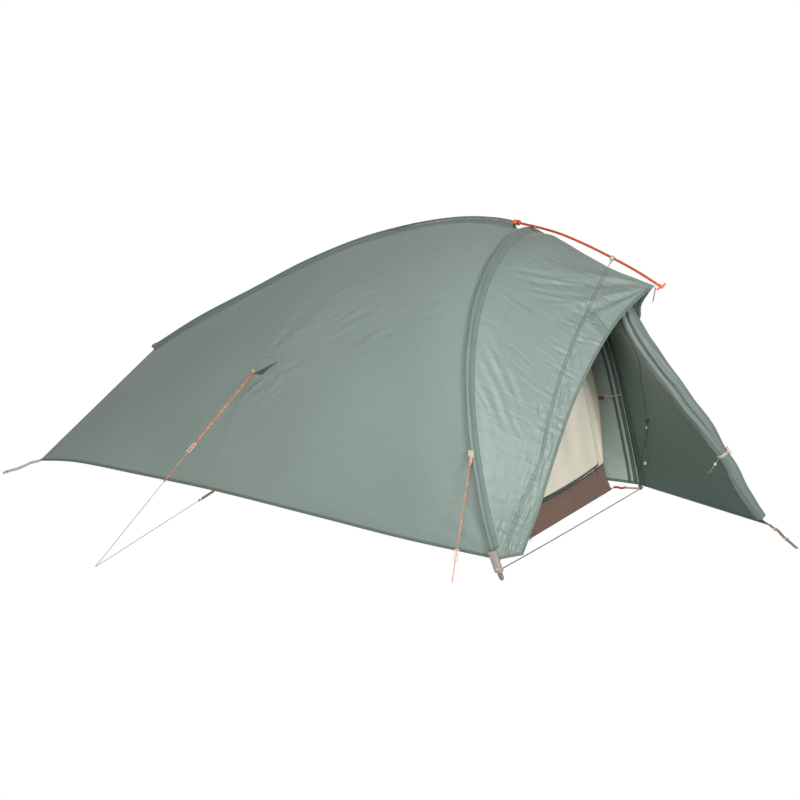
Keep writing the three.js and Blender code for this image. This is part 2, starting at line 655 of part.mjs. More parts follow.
// The place on one side of the fly at a given x and height.
function onFly(surface, x, z) {
  let best = [0.5, 0.5];
  let reach = 0.5;
  const miss = ([u, v]) => {
    const p = surface(u, v);
    return Math.hypot(p.x - x, p.z - z);
  };
  for (let round = 0; round < 24; round++) {
    for (const [du, dv] of [[1, 0], [-1, 0], [0, 1], [0, -1], [1, 1], [-1, -1], [1, -1], [-1, 1]]) {
      const next = [best[0] + du * reach, best[1] + dv * reach];
      const inRange = next.every((t) => t >= 0 && t <= 1);
      if (inRange && miss(next) < miss(best)) best = next;
    }
    reach *= 0.75;
  }
  return surface(...best);
}

const ADJUSTER = { length: 22, width: 13, thickness: 7, hole: 1.7 };
function adjusterShape() {
  const shape = new THREE.Shape();
  const [w, t] = [ADJUSTER.width / 2, ADJUSTER.thickness / 2];
  shape.moveTo(-w, -t).lineTo(w, -t).lineTo(w, t).lineTo(-w, t);
  for (const x of [-3, 3]) {
    shape.holes.push(new THREE.Path().absarc(x, 0, ADJUSTER.hole, 0, 2 * Math.PI, true));
  }
  const geometry = new THREE.ExtrudeGeometry(shape, {
    depth: ADJUSTER.length, bevelEnabled: false, curveSegments: 5 });
  return geometry.translate(3, 0, -ADJUSTER.length / 2);
}

const HEM_TIE_AT = 0.472;           // where along the hem its strap is sewn
const SIDE_ADJUSTER_AT = 0.435;
const HOOP_ADJUSTER_AT = 0.78;

// One side's guylines, tether and straps. The pale tether runs from the side guyline's knot
// to the ground and back to the strap on the hem.
function sideTies(side, surface, hem, hoopAt) {
  const name = side === NEAR ? 'near' : 'far';
  const ring = onFly(surface, -60, 583);
  const stake = at(-46, side * 1316, 0);
  const toStake = stake.clone().sub(ring).normalize();
  const knot = mix(ring, stake, 0.605);
  const guy = new THREE.LineCurve3(ring.clone().addScaledVector(toStake, 8), knot);
  add(`side_guyline_${name}`, rod(guy, CORD_RADIUS, 8, 12), 'cord');
  stand(add(`side_guy_adjuster_${name}`, adjusterShape(), 'plastic'),
    mix(ring, stake, SIDE_ADJUSTER_AT), toStake);

  const tie = hem(HEM_TIE_AT);
  const strapEnd = mix(tie, stake, 0.13);
  const hemStrap = [mix(tie, stake, 0.008), mix(tie, strapEnd, 0.5), mix(tie, strapEnd, 0.94)];
  add(`hem_strap_${name}`, strap(hemStrap, 12, 1.6, at(1, 0, 0)), 'strap');
  const tether = through([
    ...[0.02, 0.5, 0.96].map((t) => mix(knot, stake, t)),
    stake.clone().add(at(0, 0, 1.5)),
    ...[0.94, 0.5, 0.02].map((t) => mix(strapEnd, stake, t)),
  ]);
  add(`side_tether_${name}`, rod(tether, TETHER_RADIUS, 8, 40), 'tether');

  const tab = hoop.getPointAt(hoopAt(425)).add(at(2, side * 15, -8));
  const hoopStake = at(1071, side * 800, 2);
  add(`hoop_guyline_${name}`, rod(new THREE.LineCurve3(tab, hoopStake), CORD_RADIUS, 8, 12), 'cord');
  stand(add(`hoop_guy_adjuster_${name}`, adjusterShape(), 'plastic'),
    mix(tab, hoopStake, HOOP_ADJUSTER_AT), hoopStake.clone().sub(tab));

  const corner = hem(0);
  const peg = at(-1466, side * 640, 3);
  const rearStrap = [0.04, 0.52, 1].map((t) => mix(corner, peg, t));
  add(`rear_strap_${name}`, strap(rearStrap, 14, 2, at(-0.8, -side * 0.6, 0)), 'webbing');
}
sideTies(NEAR, flyNear, nearHem, hoopNearAt);
sideTies(FAR, flyFar, farHem, hoopFarAt);

const apexPeg = at(1958, 180, 3);
const apexStrap = [0.04, 0.52, 1].map((t) => mix(apex, apexPeg, t));
add('apex_strap', strap(apexStrap, 14, 2, at(0.6, 0.8, 0)), 'strap');

// ---------------------------------------------------------------- ridge clip and tip strap

const clipAt = fractionWhere(ridge, 'x', 1285);
const clipPoint = ridge.getPointAt(clipAt);
function ridgeClipShape() {
  const ring = new THREE.LatheGeometry(
    [[5.2, -7], [8.4, -7], [8.4, 7], [5.2, 7], [5.2, -7]].map(([r, z]) => new THREE.Vector2(r, z)), 16);
  ring.rotateX(Math.PI / 2);
  const lug = new THREE.BoxGeometry(3, 11, 12).translate(0, -12.5, 0);
  return geometryOf(solid(ring).add(solid(lug)));
}
const clip = add('ridge_clip', ridgeClipShape(), 'clear');
const clipAxis = ridge.getTangentAt(clipAt);
const clipUp = at(0, 1, 0).cross(clipAxis).negate().normalize();
clip.quaternion.setFromRotationMatrix(
  new THREE.Matrix4().makeBasis(clipUp.clone().cross(clipAxis), clipUp, clipAxis));
clip.position.copy(clipPoint);
const clipDown = clipUp.clone().negate();
const webbingTop = clipPoint.clone().addScaledVector(clipDown, 19);
const webbingFoot = at(webbingTop.x - 6, 0, webbingTop.z - 14);
const clipWebbing = [webbingTop, mix(webbingTop, webbingFoot, 0.5), webbingFoot];
add('ridge_clip_webbing', strap(clipWebbing, 10, 1.6, at(0, 1, 0)), 'webbing');

const TIP_STRAP = { length: 52, width: 9, thickness: 1.6 };
const tipPivot = at(1452, 0, 941);
const tipStrap = [0, 0.5, 1].map((t) => tipPivot.clone().add(at(-8 * t, 0, -TIP_STRAP.length * t)));
add('tip_strap', strap(tipStrap, TIP_STRAP.width, TIP_STRAP.thickness, at(0, 1, 0)), 'darkCord');

// ---------------------------------------------------------------- porch fittings

// A cord loop and bead hang inside the far wing.
const panelTie = porchFar(0.265, 0.75).add(at(0, -6, -4));
const TOGGLE = { drop: 190, bead: 6 };
function toggleShape() {
  const line = new THREE.CylinderGeometry(1.4, 1.4, TOGGLE.drop, 8);
  line.rotateX(Math.PI / 2).translate(0, 0, -TOGGLE.drop / 2);
  const bead = new THREE.SphereGeometry(TOGGLE.bead, 10, 8).translate(0, 0, -TOGGLE.drop);
  return geometryOf(solid(line).add(solid(bead)));
}
add('panel_toggle', toggleShape(), 'darkCord').position.copy(panelTie);

// The porch zip's slider waits at the bottom of the near wing's edge, on its inside.
const zipLow = wingEdge(0.93).add(at(-9, 12, 0));
const zipHigh = wingEdge(0.66).add(at(-9, 12, 0));
const porchSlider = add('porch_zip_slider', sliderShape(), 'metal');
const zipUp = zipHigh.clone().sub(zipLow).normalize();
const zipOut = at(0, 1, 0).sub(zipUp.clone().multiplyScalar(zipUp.y)).normalize();
porchSlider.quaternion.setFromRotationMatrix(
  new THREE.Matrix4().makeBasis(zipOut, zipUp, zipOut.clone().cross(zipUp)));
porchSlider.position.copy(zipLow);
const porchPull = add('porch_zip_pull', pullShape(), 'cord');
porchPull.position.copy(zipLow).addScaledVector(zipOut, SLIDER.depth / 2 + 5.4).add(at(0, 0, -1));
porchPull.rotation.z = Math.PI / 2;

export default group;
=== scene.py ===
"""The looks of a two-pole tent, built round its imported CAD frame.

Metres, +X out of the porch, +Z up, the near side at -Y. The pole lines, edges and cord routes
repeat the driving dimensions of the CAD part, and every cloth is a surface made from them.
"""
import math

import bmesh
import bpy
import numpy as np
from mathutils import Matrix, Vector


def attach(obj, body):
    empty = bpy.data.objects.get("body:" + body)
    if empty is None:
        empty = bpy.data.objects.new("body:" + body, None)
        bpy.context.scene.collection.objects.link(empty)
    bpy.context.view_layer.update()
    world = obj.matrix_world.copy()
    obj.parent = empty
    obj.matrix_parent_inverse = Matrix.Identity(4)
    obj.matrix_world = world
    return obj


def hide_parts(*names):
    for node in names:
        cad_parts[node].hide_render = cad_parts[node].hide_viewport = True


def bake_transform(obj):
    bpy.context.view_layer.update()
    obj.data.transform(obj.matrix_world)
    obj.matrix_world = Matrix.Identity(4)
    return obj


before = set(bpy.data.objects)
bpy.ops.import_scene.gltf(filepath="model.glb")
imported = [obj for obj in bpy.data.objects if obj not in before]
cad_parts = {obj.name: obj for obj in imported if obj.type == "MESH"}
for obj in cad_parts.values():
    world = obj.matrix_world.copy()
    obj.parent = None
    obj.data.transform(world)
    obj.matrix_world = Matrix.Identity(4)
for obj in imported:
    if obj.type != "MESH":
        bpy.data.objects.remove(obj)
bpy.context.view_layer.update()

TENT = "tent"
NEAR, FAR = -1, 1
SIDES = ((NEAR, "near"), (FAR, "far"))

# ------------------------------------------------------------------ camera, stage and light

scene = bpy.context.scene
scene.view_settings.view_transform = "Standard"

CAMERA_PLACE = (2.590, -3.530, 1.1305)
CAMERA_YAW = 32.224
CAMERA_DOWN = 9.483
CAMERA_LENS = 44.72


def make_camera():
    camera = bpy.data.objects.new("camera", bpy.data.cameras.new("camera"))
    camera.data.lens = CAMERA_LENS
    camera.location = CAMERA_PLACE
    camera.rotation_euler = (math.radians(90 - CAMERA_DOWN), 0, math.radians(CAMERA_YAW))
    scene.collection.objects.link(camera)
    scene.camera = camera


def area_light(name, place, target, size, power):
    light = bpy.data.objects.new(name, bpy.data.lights.new(name, "AREA"))
    light.data.size = size
    light.data.energy = power
    light.location = place
    aim = Vector(target) - Vector(place)
    light.rotation_euler = aim.to_track_quat("-Z", "Y").to_euler()
    scene.collection.objects.link(light)


make_camera()

# ------------------------------------------------------------------ curves and surfaces


def array(*numbers):
    return np.array(numbers, float)


def unit(vectors):
    return vectors / np.maximum(np.linalg.norm(vectors, axis=-1, keepdims=True), 1e-12)


def mirrored(points):
    return points * array(1, -1, 1)


def between(a, b, t):
    """The points at fractions t of the way from a to b."""
    return a + (b - a) * np.asarray(t, float)[..., None]


def smooth(t, low=0.0, high=1.0):
    """0 below low, 1 above high, and an even slope between."""
    s = np.clip((t - low) / (high - low), 0, 1)
    return s * s * (3 - 2 * s)


def bump(t, middle, width):
    return np.exp(-(((t - middle) / width) ** 2))


class Line:
    """A centripetal Catmull-Rom curve through points, read by fractions of its length."""

    STEPS = 60

    def __init__(self, points):
        p = np.array(points, float)
        p = np.concatenate([2 * p[:1] - p[1:2], p, 2 * p[-1:] - p[-2:-1]])
        root = np.sqrt(np.linalg.norm(np.diff(p, axis=0), axis=1))
        pieces = [self.span(p[i:i + 4], root[i:i + 3]) for i in range(len(p) - 3)]
        self.points = np.concatenate([*pieces, p[-2:-1]])
        steps = np.linalg.norm(np.diff(self.points, axis=0), axis=1)
        self.reach = np.concatenate([[0], np.cumsum(steps)])
        self.length = self.reach[-1]
        self.knots = self.reach[::self.STEPS] / self.length

    def span(self, p, root):
        a, b, c = root
        start = (p[1] - p[0]) / a - (p[2] - p[0]) / (a + b) + (p[2] - p[1]) / b
        end = (p[2] - p[1]) / b - (p[3] - p[1]) / (b + c) + (p[3] - p[2]) / c
        start, end = start * b, end * b
        t = (np.arange(self.STEPS) / self.STEPS)[:, None]
        square = -3 * p[1] + 3 * p[2] - 2 * start - end
        cube = 2 * p[1] - 2 * p[2] + start + end
        return p[1] + start * t + square * t ** 2 + cube * t ** 3

    def at(self, t):
        reach = np.clip(np.asarray(t, float), 0, 1) * self.length
        return np.stack([np.interp(reach, self.reach, axis) for axis in self.points.T], axis=-1)

    def stops(self, count):
        """About count fractions that include the points which the curve was drawn through."""
        each = math.ceil(count / (len(self.knots) - 1))
        parts = [np.linspace(a, b, each + 1)[:-1] for a, b in zip(self.knots[:-1], self.knots[1:])]
        return np.concatenate([*parts, [1.0]])

    def fraction(self, axis, values):
        """The fractions at which a steadily rising coordinate has given values."""
        return np.interp(values, self.points[:, axis], self.reach) / self.length

    def tangent(self, t):
        t = np.asarray(t, float)
        return unit(self.at(np.minimum(t + 0.004, 1)) - self.at(np.maximum(t - 0.004, 0)))

    def where(self, axis, value, backwards=False):
        """The fraction at which one coordinate first passes a value, from either end."""
        side = np.sign(self.points[:, axis] - value)
        start = side[-1] if backwards else side[0]
        passed = np.flatnonzero(side != start)
        return self.reach[passed[-1] if backwards else passed[0]] / self.length


def closed(points):
    """The line through points and back to the first."""
    return Line([*points, points[0]])


def patch(rear, front, top, bottom, spread=1.0):
    """The surface that fills four edges: u runs from rear to front, v from top to bottom."""
    corners = [top(array(0)), bottom(array(0)), top(array(1)), bottom(array(1))]

    def surface(u, v):
        f, v1 = (u ** spread)[..., None], v[..., None]
        lengthwise = rear(v) * (1 - f) + front(v) * f
        crosswise = top(u) * (1 - v1) + bottom(u) * v1
        at_rear = corners[0] * (1 - v1) + corners[1] * v1
        at_front = corners[2] * (1 - v1) + corners[3] * v1
        return lengthwise + crosswise - at_rear * (1 - f) - at_front * f

    return surface


class Cloth:
    """A surface over u and v, with folds pressed into it along its outward normal."""

    STEP = 2e-3

    def __init__(self, surface, inside, folds=()):
        self.surface = surface
        self.folds = folds
        self.turn = 1
        middle = array(0.5), array(0.5)
        if self.normal(*middle)[0] @ (array(*inside) - surface(*middle)[0]) > 0:
            self.turn = -1

    def slopes(self, u, v, surface):
        low_u, high_u = np.maximum(u - self.STEP, 0), np.minimum(u + self.STEP, 1)
        low_v, high_v = np.maximum(v - self.STEP, 0), np.minimum(v + self.STEP, 1)
        along = (surface(high_u, v) - surface(low_u, v)) / (high_u - low_u)[..., None]
        down = (surface(u, high_v) - surface(u, low_v)) / (high_v - low_v)[..., None]
        return along, down

    def normal(self, u, v):
        along, down = self.slopes(u, v, self.surface)
        return unit(np.cross(along, down)) * self.turn

    def point(self, u, v, lift=0.0):
        u, v = np.clip(u, 0, 1), np.clip(v, 0, 1)
        p = self.surface(u, v)
        height = sum((fold(p, u, v) for fold in self.folds), np.zeros(u.shape)) + lift
        return p + self.normal(u, v) * height[..., None]

    def moved(self, u, v, along, down):
        """u and v after a step of so many metres along the cloth."""
        slope_u, slope_v = self.slopes(u, v, self.surface)
        return (u + along / np.linalg.norm(slope_u, axis=-1),
                v + down / np.linalg.norm(slope_v, axis=-1))


# ------------------------------------------------------------------ meshes


def mesh_piece(name, points, faces, materials, uv=None, face_materials=None, smoothed=True):
    mesh = bpy.data.meshes.new(name)
    mesh.from_pydata([tuple(p) for p in points], [], [tuple(map(int, f)) for f in faces])
    for material in materials:
        mesh.materials.append(material)
    if face_materials is not None:
        mesh.polygons.foreach_set("material_index", np.array(face_materials, np.int32))
    if smoothed:
        mesh.polygons.foreach_set("use_smooth", np.ones(len(mesh.polygons), bool))
    if uv is not None:
        corners = np.zeros(len(mesh.loops), np.int32)
        mesh.loops.foreach_get("vertex_index", corners)
        layer = mesh.uv_layers.new(name="cloth")
        layer.data.foreach_set("uv", np.array(uv, np.float32)[corners].ravel())
    mesh.update()
    piece = bpy.data.objects.new(name, mesh)
    scene.collection.objects.link(piece)
    return piece


def placed(piece, body=TENT, stands_for=()):
    """Finishes a piece: its body and the CAD nodes that it stands for."""
    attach(piece, body)
    if stands_for:
        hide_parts(*stands_for)
    return piece


def grid_faces(columns, rows):
    """Quads of a grid of columns x rows points."""
    i, j = np.meshgrid(np.arange(columns - 1), np.arange(rows - 1))
    a = (j * columns + i).ravel()
    return np.stack([a, a + 1, a + columns + 1, a + columns], axis=1)


def grid_lengths(grid):
    """Metric coordinates over a grid: the way along its rows and down its columns."""
    across = np.linalg.norm(np.diff(grid, axis=1), axis=2).mean(axis=0)
    down = np.linalg.norm(np.diff(grid, axis=0), axis=2).mean(axis=1)
    x = np.concatenate([[0], np.cumsum(across)])
    y = np.concatenate([[0], np.cumsum(down)])
    return np.stack(np.meshgrid(x, y), axis=-1)


def grid_normals(grid):
    down, across = np.gradient(grid, axis=(0, 1))
    return unit(np.cross(across, down))


def cloth_mesh(name, grid, thickness, materials, inward=None):
    """A closed thin sheet from a grid of points on its outer face. inward is a point inside."""
    rows, columns = grid.shape[:2]
    normals = grid_normals(grid)
    middle = (rows // 2, columns // 2)
    turn = 1.0
    if inward is not None and normals[middle] @ (array(*inward) - grid[middle]) > 0:
        turn = -1.0
    inner = grid - normals * turn * thickness
    outer_faces = grid_faces(columns, rows)
    inner_faces = outer_faces[:, ::-1] + rows * columns
    index = np.arange(rows * columns).reshape(rows, columns)
    rim = np.concatenate([index[0, :-1], index[:-1, -1], index[-1, :0:-1], index[:0:-1, 0]])
    after = np.roll(rim, -1)
    size = rows * columns
    rim_faces = np.stack([after, rim, rim + size, after + size], axis=1)
    faces = np.concatenate([outer_faces, inner_faces, rim_faces])
    if turn > 0:
        faces = faces[:, ::-1]
    kinds = np.concatenate([
        np.zeros(len(outer_faces)), np.full(len(inner_faces), len(materials) - 1),
        np.zeros(len(rim_faces))])
    points = np.concatenate([grid.reshape(-1, 3), inner.reshape(-1, 3)])
    uv = np.tile(grid_lengths(grid).reshape(-1, 2), (2, 1))
    return mesh_piece(name, points, faces, materials, uv, kinds)


def over(cloth, columns, rows):
    """A grid of points that covers a whole cloth."""
    return cloth.point(*np.meshgrid(np.linspace(0, 1, columns), np.linspace(0, 1, rows)))


def skinned(name, rings, materials, uv, smoothed=True, turn=1):
    """A closed body from equal rings of points, with an end face on the first and the last."""
    count, sides = rings.shape[:2]
    index = np.arange(count * sides).reshape(count, sides)
    after = np.roll(index, -1, axis=1)
    quads = np.stack([index[:-1], index[1:], after[1:], after[:-1]], axis=-1)[..., ::turn]
    faces = [tuple(f) for f in quads.transpose(1, 0, 2).reshape(-1, 4)]
    faces += [tuple(index[0, ::turn]), tuple(index[-1, ::-turn])]
    return mesh_piece(name, rings.reshape(-1, 3), faces, materials, uv, smoothed=smoothed)


def swept(name, line, section, t, up, material):
    """Sweeps section(t), an array of (side, up) offsets, along a line; up is roughly upward."""
    forward = line.tangent(t)
    side = unit(np.cross(forward, np.broadcast_to(up, forward.shape)))
    high = np.cross(side, forward)
    middle = line.at(t)
    rings = []
    for i, fraction in enumerate(t):
        s = section(fraction)
        rings.append(middle[i] + s[:, :1] * side[i] + s[:, 1:] * high[i])
    rings = np.array(rings)
    lengths = grid_lengths(np.concatenate([rings, rings[:, :1]], axis=1))
    return skinned(name, rings, [material], lengths[:, :-1].reshape(-1, 2))


def circle(radius, sides):
    angle = np.linspace(0, 2 * math.pi, sides, endpoint=False)
    return np.stack([np.cos(angle), np.sin(angle)], axis=1) * radius


def round_tube(name, line, radius, material, sides=16, steps=80, span=(0, 1), body=TENT,
               stands_for=()):
    """A round rod along a line, placed; radius may be a function of the fraction."""
    shape = radius if callable(radius) else (lambda fraction: radius)
    piece = swept(name, line, lambda f: circle(shape(f), sides), np.linspace(*span, steps),
                  array(0, 0, 1), material)
    return placed(piece, body, stands_for)


def ribbon(name, points, width, thickness, across, material, steps=24, body=TENT,
           stands_for=()):
    """Webbing through points, placed: a flat section, its width set along across."""
    line = Line(points)
    t = np.linspace(0, 1, steps)
    forward = line.tangent(t)
    side = unit(np.broadcast_to(array(*across), forward.shape))
    high = unit(np.cross(side, forward))
    w, h = width / 2, thickness / 2
    outline = [(-w, -h * 0.5), (-w + h, -h), (0, -h), (w - h, -h), (w, -h * 0.5),
               (w, h * 0.5), (w - h, h), (0, h), (-w + h, h), (-w, h * 0.5)]
    middle = line.at(t)
    rings = np.array([middle + s * side + r * high for s, r in outline]).transpose(1, 0, 2)
    uv = np.array([(s, q * line.length) for q in t for s, _ in outline])
    piece = skinned(name, rings, [material], uv, smoothed=False, turn=-1)
    return placed(piece, body, stands_for)


def surface_strip(name, cloth, path, width, lift, thickness, material, steps=160, lanes=5,
                  puff=0.0):
    """A strip of cloth, placed, that lies on another along path(t), which gives u and v."""
    u, v = path(np.linspace(0, 1, steps))
    inner_u, inner_v = np.clip(u, 0, 1), np.clip(v, 0, 1)
    centre, normal = cloth.surface(inner_u, inner_v), cloth.normal(inner_u, inner_v)
    side = np.cross(unit(np.gradient(centre, axis=0)), normal)
    basis = np.stack(cloth.slopes(inner_u, inner_v, cloth.surface), axis=-1)
    step = np.einsum("nij,nj->ni", np.linalg.pinv(basis), side)
    rows = []
    for lane in np.linspace(-1, 1, lanes):
        raised = lift + thickness + puff * (1 - lane ** 2)
        distance = lane * width / 2
        rows.append(cloth.point(u + step[:, 0] * distance, v + step[:, 1] * distance, raised))
    half = steps // 2
    piece = cloth_mesh(name, np.stack(rows), thickness, [material], centre[half] - normal[half])
    return placed(piece)


# ------------------------------------------------------------------ shaders


def linear(colour):
    """An sRGB colour, 0 to 255, as the linear values that shaders take."""
    c = np.array(colour, float) / 255
    return (*np.where(c <= 0.04045, c / 12.92, ((c + 0.055) / 1.055) ** 2.4), 1.0)


class Shader:
    """A Principled material, built node by node."""

    def __init__(self, name, colour, roughness, **sockets):
        self.material = bpy.data.materials.new(name)
        self.material.use_nodes = True
        self.tree = self.material.node_tree
        self.main = self.tree.nodes["Principled BSDF"]
        self.colour = linear(colour)
        self.main.inputs["Base Color"].default_value = self.colour
        self.main.inputs["Roughness"].default_value = roughness
        for socket, value in sockets.items():
            self.main.inputs[socket.replace("_", " ")].default_value = value
        self.heights = []

    def node(self, kind, inputs=(), **settings):
        made = self.tree.nodes.new("ShaderNode" + kind)
        for key, value in settings.items():
            setattr(made, key, value)
        for key, value in dict(inputs).items():
            if isinstance(value, bpy.types.NodeSocket):
                self.tree.links.new(value, made.inputs[key])
            else:
                made.inputs[key].default_value = value
        return made

    def place(self, scale=(1, 1, 1), own_uv=True):
        """Metric coordinates: the piece's own cloth layer, or its place in the tent."""
        if own_uv:
            source = self.node("UVMap", uv_map="cloth").outputs["UV"]
        else:
            source = self.node("TexCoord").outputs["Object"]
        return self.node("Mapping", {"Vector": source, "Scale": scale}).outputs["Vector"]

    def noise(self, scale, detail=3, stretch=(1, 1, 1), own_uv=True, distortion=0.0):
        where = self.place(stretch, own_uv)
        inputs = {"Vector": where, "Scale": scale, "Detail": detail, "Distortion": distortion}
        return self.node("TexNoise", inputs).outputs["Fac"]

    def math(self, operation, *values):
        made = self.node("Math", operation=operation)
        for socket, value in zip(made.inputs, values):
            if isinstance(value, bpy.types.NodeSocket):
                self.tree.links.new(value, socket)
            else:
                socket.default_value = value
        return made.outputs[0]

    def spread(self, value, low, high, to_low, to_high):
        inputs = {"Value": value, "From Min": low, "From Max": high,
                  "To Min": to_low, "To Max": to_high}
        return self.node("MapRange", inputs).outputs["Result"]

    def mix(self, fac, a, b, mode="MIX"):
        made = self.node("Mix", data_type="RGBA", blend_type=mode)
        for index, value in zip((0, 6, 7), (fac, a, b)):
            socket = made.inputs[index]
            if isinstance(value, bpy.types.NodeSocket):
                self.tree.links.new(value, socket)
            else:
                socket.default_value = value
        return made.outputs[2]

    def paint(self, colour):
        self.tree.links.new(colour, self.main.inputs["Base Color"])

    def shaded(self, value, low, high, colour=None):
        """The base colour made lighter and darker by value, from low to high times."""
        grey = self.spread(value, 0.3, 0.7, low, high)
        return self.mix(1.0, colour or self.colour, self.grey(grey), "MULTIPLY")

    def grey(self, value):
        return self.node("CombineColor", {"Red": value, "Green": value, "Blue": value}).outputs[0]

    def rough(self, value, low, high):
        self.tree.links.new(self.spread(value, 0.3, 0.7, low, high), self.main.inputs["Roughness"])

    def relief(self, height, distance, strength=1.0):
        self.heights.append((height, distance, strength))

    def done(self):
        normal = None
        for height, distance, strength in self.heights:
            inputs = {"Height": height, "Distance": distance, "Strength": strength}
            if normal is not None:
                inputs["Normal"] = normal
            normal = self.node("Bump", inputs).outputs["Normal"]
        if normal is not None:
            self.tree.links.new(normal, self.main.inputs["Normal"])
        return self.material


WAVE = 0.314  # the wave texture's scale for one metre between its crests
THREAD_PITCH, RIB_PITCH, LANE_PITCH, BRAID_PITCH, STITCH_PITCH = 0.0016, 0.0016, 0.003, 0.0022, 0.0045


def threads(shader):
    """A plain weave: two sets of threads, one over the other."""
    waves = []
    for direction in ("X", "Y"):
        inputs = {"Vector": shader.place(), "Scale": WAVE / THREAD_PITCH}
        waves.append(shader.node("TexWave", inputs, bands_direction=direction).outputs["Fac"])
    shader.relief(shader.math("MULTIPLY", *waves), 0.0002, 0.2)


def coated_cloth(name, colour, roughness, crinkle=0.5, variation=0.05):
    """Thin coated tent cloth: a fine weave, faint packing creases and a soft uneven tone."""
    s = Shader(name, colour, roughness, Sheen_Weight=0.15, Sheen_Roughness=0.4,
               Specular_IOR_Level=0.35)
    broad = s.noise(2.2, 3)
    fine = s.noise(90, 2)
    tone = s.math("ADD", s.math("MULTIPLY", broad, 0.7), s.math("MULTIPLY", fine, 0.3))
    s.paint(s.shaded(tone, 1 - variation, 1 + variation))
    s.rough(broad, roughness - 0.05, roughness + 0.06)
    s.relief(s.noise(14, 5, (1, 1.6, 1), distortion=0.6), 0.004 * crinkle, 0.5)
    s.relief(s.noise(7, 4, (1, 4, 1), distortion=0.4), 0.010 * crinkle, 0.5)
    creases = s.node("TexVoronoi", {"Vector": s.place(), "Scale": 7.0}, feature="DISTANCE_TO_EDGE")
    s.relief(s.spread(creases.outputs["Distance"], 0, 0.03, 0, 1), 0.0012 * crinkle, 0.25)
    threads(s)
    return s.done()


def webbing_cloth(name, colour):
    """Woven tape: ribs across it, a herringbone tone and darker edges."""
    s = Shader(name, colour, 0.8, Sheen_Weight=0.2)
    ribs = s.node("TexWave", {"Vector": s.place(), "Scale": WAVE / RIB_PITCH, "Distortion": 0.6,
                              "Detail": 1.0}, bands_direction="Y").outputs["Fac"]
    lanes = s.node("TexWave", {"Vector": s.place(), "Scale": WAVE / LANE_PITCH},
                   bands_direction="X").outputs["Fac"]
    tone = s.math("ADD", s.math("MULTIPLY", ribs, 0.5), s.math("MULTIPLY", lanes, 0.5))
    s.paint(s.shaded(tone, 0.75, 1.1))
    s.relief(tone, 0.0005, 0.6)
    s.relief(s.noise(700, 2), 0.0003, 0.3)
    return s.done()


def braided_cord(name, colour, fleck):
    """Round braided cord: strands that wind both ways, with a contrast fleck."""
    s = Shader(name, colour, 0.75, Sheen_Weight=0.25)
    waves = []
    for turn in (1, -1):
        inputs = {"Vector": s.place((1, turn, 1)), "Scale": WAVE / BRAID_PITCH}
        waves.append(s.node("TexWave", inputs, bands_direction="DIAGONAL").outputs["Fac"])
    braid = s.math("MULTIPLY", *waves)
    flecks = s.spread(s.noise(160, 1, (1, 0.4, 1)), 0.56, 0.62, 0, 1)
    s.paint(s.mix(flecks, s.shaded(braid, 0.8, 1.12), linear(fleck)))
    s.relief(braid, 0.0004, 0.7)
    return s.done()


def anodised(name, colour, roughness):
    """Drawn and anodised tube: long fine drawing lines and light handling marks."""
    s = Shader(name, colour, roughness, Metallic=0.75, Specular_IOR_Level=0.6)
    lines = s.noise(260, 2, (1, 0.02, 1))
    s.paint(s.shaded(lines, 0.93, 1.06))
    s.rough(s.noise(35, 4), roughness - 0.06, roughness + 0.1)
    s.relief(lines, 0.0002, 0.15)
    return s.done()


def moulded(name, colour, roughness=0.42, **sockets):
    """Moulded plastic: a fine satin grain and a faint flow tone."""
    s = Shader(name, colour, roughness, **sockets)
    s.paint(s.shaded(s.noise(30, 3, own_uv=False), 0.95, 1.04))
    s.rough(s.noise(120, 3, own_uv=False), roughness - 0.05, roughness + 0.07)
    s.relief(s.noise(900, 2, own_uv=False), 0.0002, 0.2)
    return s.done()


def metal(name, colour):
    """Cast zinc, a little uneven in tone and gloss."""
    roughness = 0.3
    s = Shader(name, colour, roughness, Metallic=1.0)
    s.paint(s.shaded(s.noise(60, 4, own_uv=False), 0.9, 1.05))
    s.rough(s.noise(90, 4, own_uv=False), roughness - 0.08, roughness + 0.12)
    s.relief(s.noise(600, 2, own_uv=False), 0.0002, 0.2)
    return s.done()


def taped_seam(name, colour, width, rows):
    """A sewn band with rows of stitches that run along it, at fractions of its width."""
    s = Shader(name, colour, 0.6, Sheen_Weight=0.12)
    where = s.node("SeparateXYZ", {"Vector": s.place()})
    along, across = where.outputs["X"], where.outputs["Y"]
    dashes = s.math("SINE", s.math("MULTIPLY", along, 2 * math.pi / STITCH_PITCH))
    pitted = s.spread(dashes, -0.4, 0.4, 0, 1)
    sewn = None
    for row in rows:
        gap = s.math("ABSOLUTE", s.math("SUBTRACT", across, row * width))
        lane = s.spread(gap, 0.0, 0.0022, 1, 0)
        mark = s.math("MULTIPLY", lane, pitted)
        sewn = mark if sewn is None else s.math("MAXIMUM", sewn, mark)
    base = s.shaded(s.noise(8, 3), 0.95, 1.05)
    s.paint(s.mix(s.math("MULTIPLY", sewn, 0.55), base, tuple(0.45 * c for c in s.colour[:3]) + (1,)))
    s.relief(s.math("SUBTRACT", 1.0, sewn), 0.0012, 0.8)
    s.relief(s.noise(45, 3, (1, 0.5, 1)), 0.0015, 0.5)
    threads(s)
    return s.done()


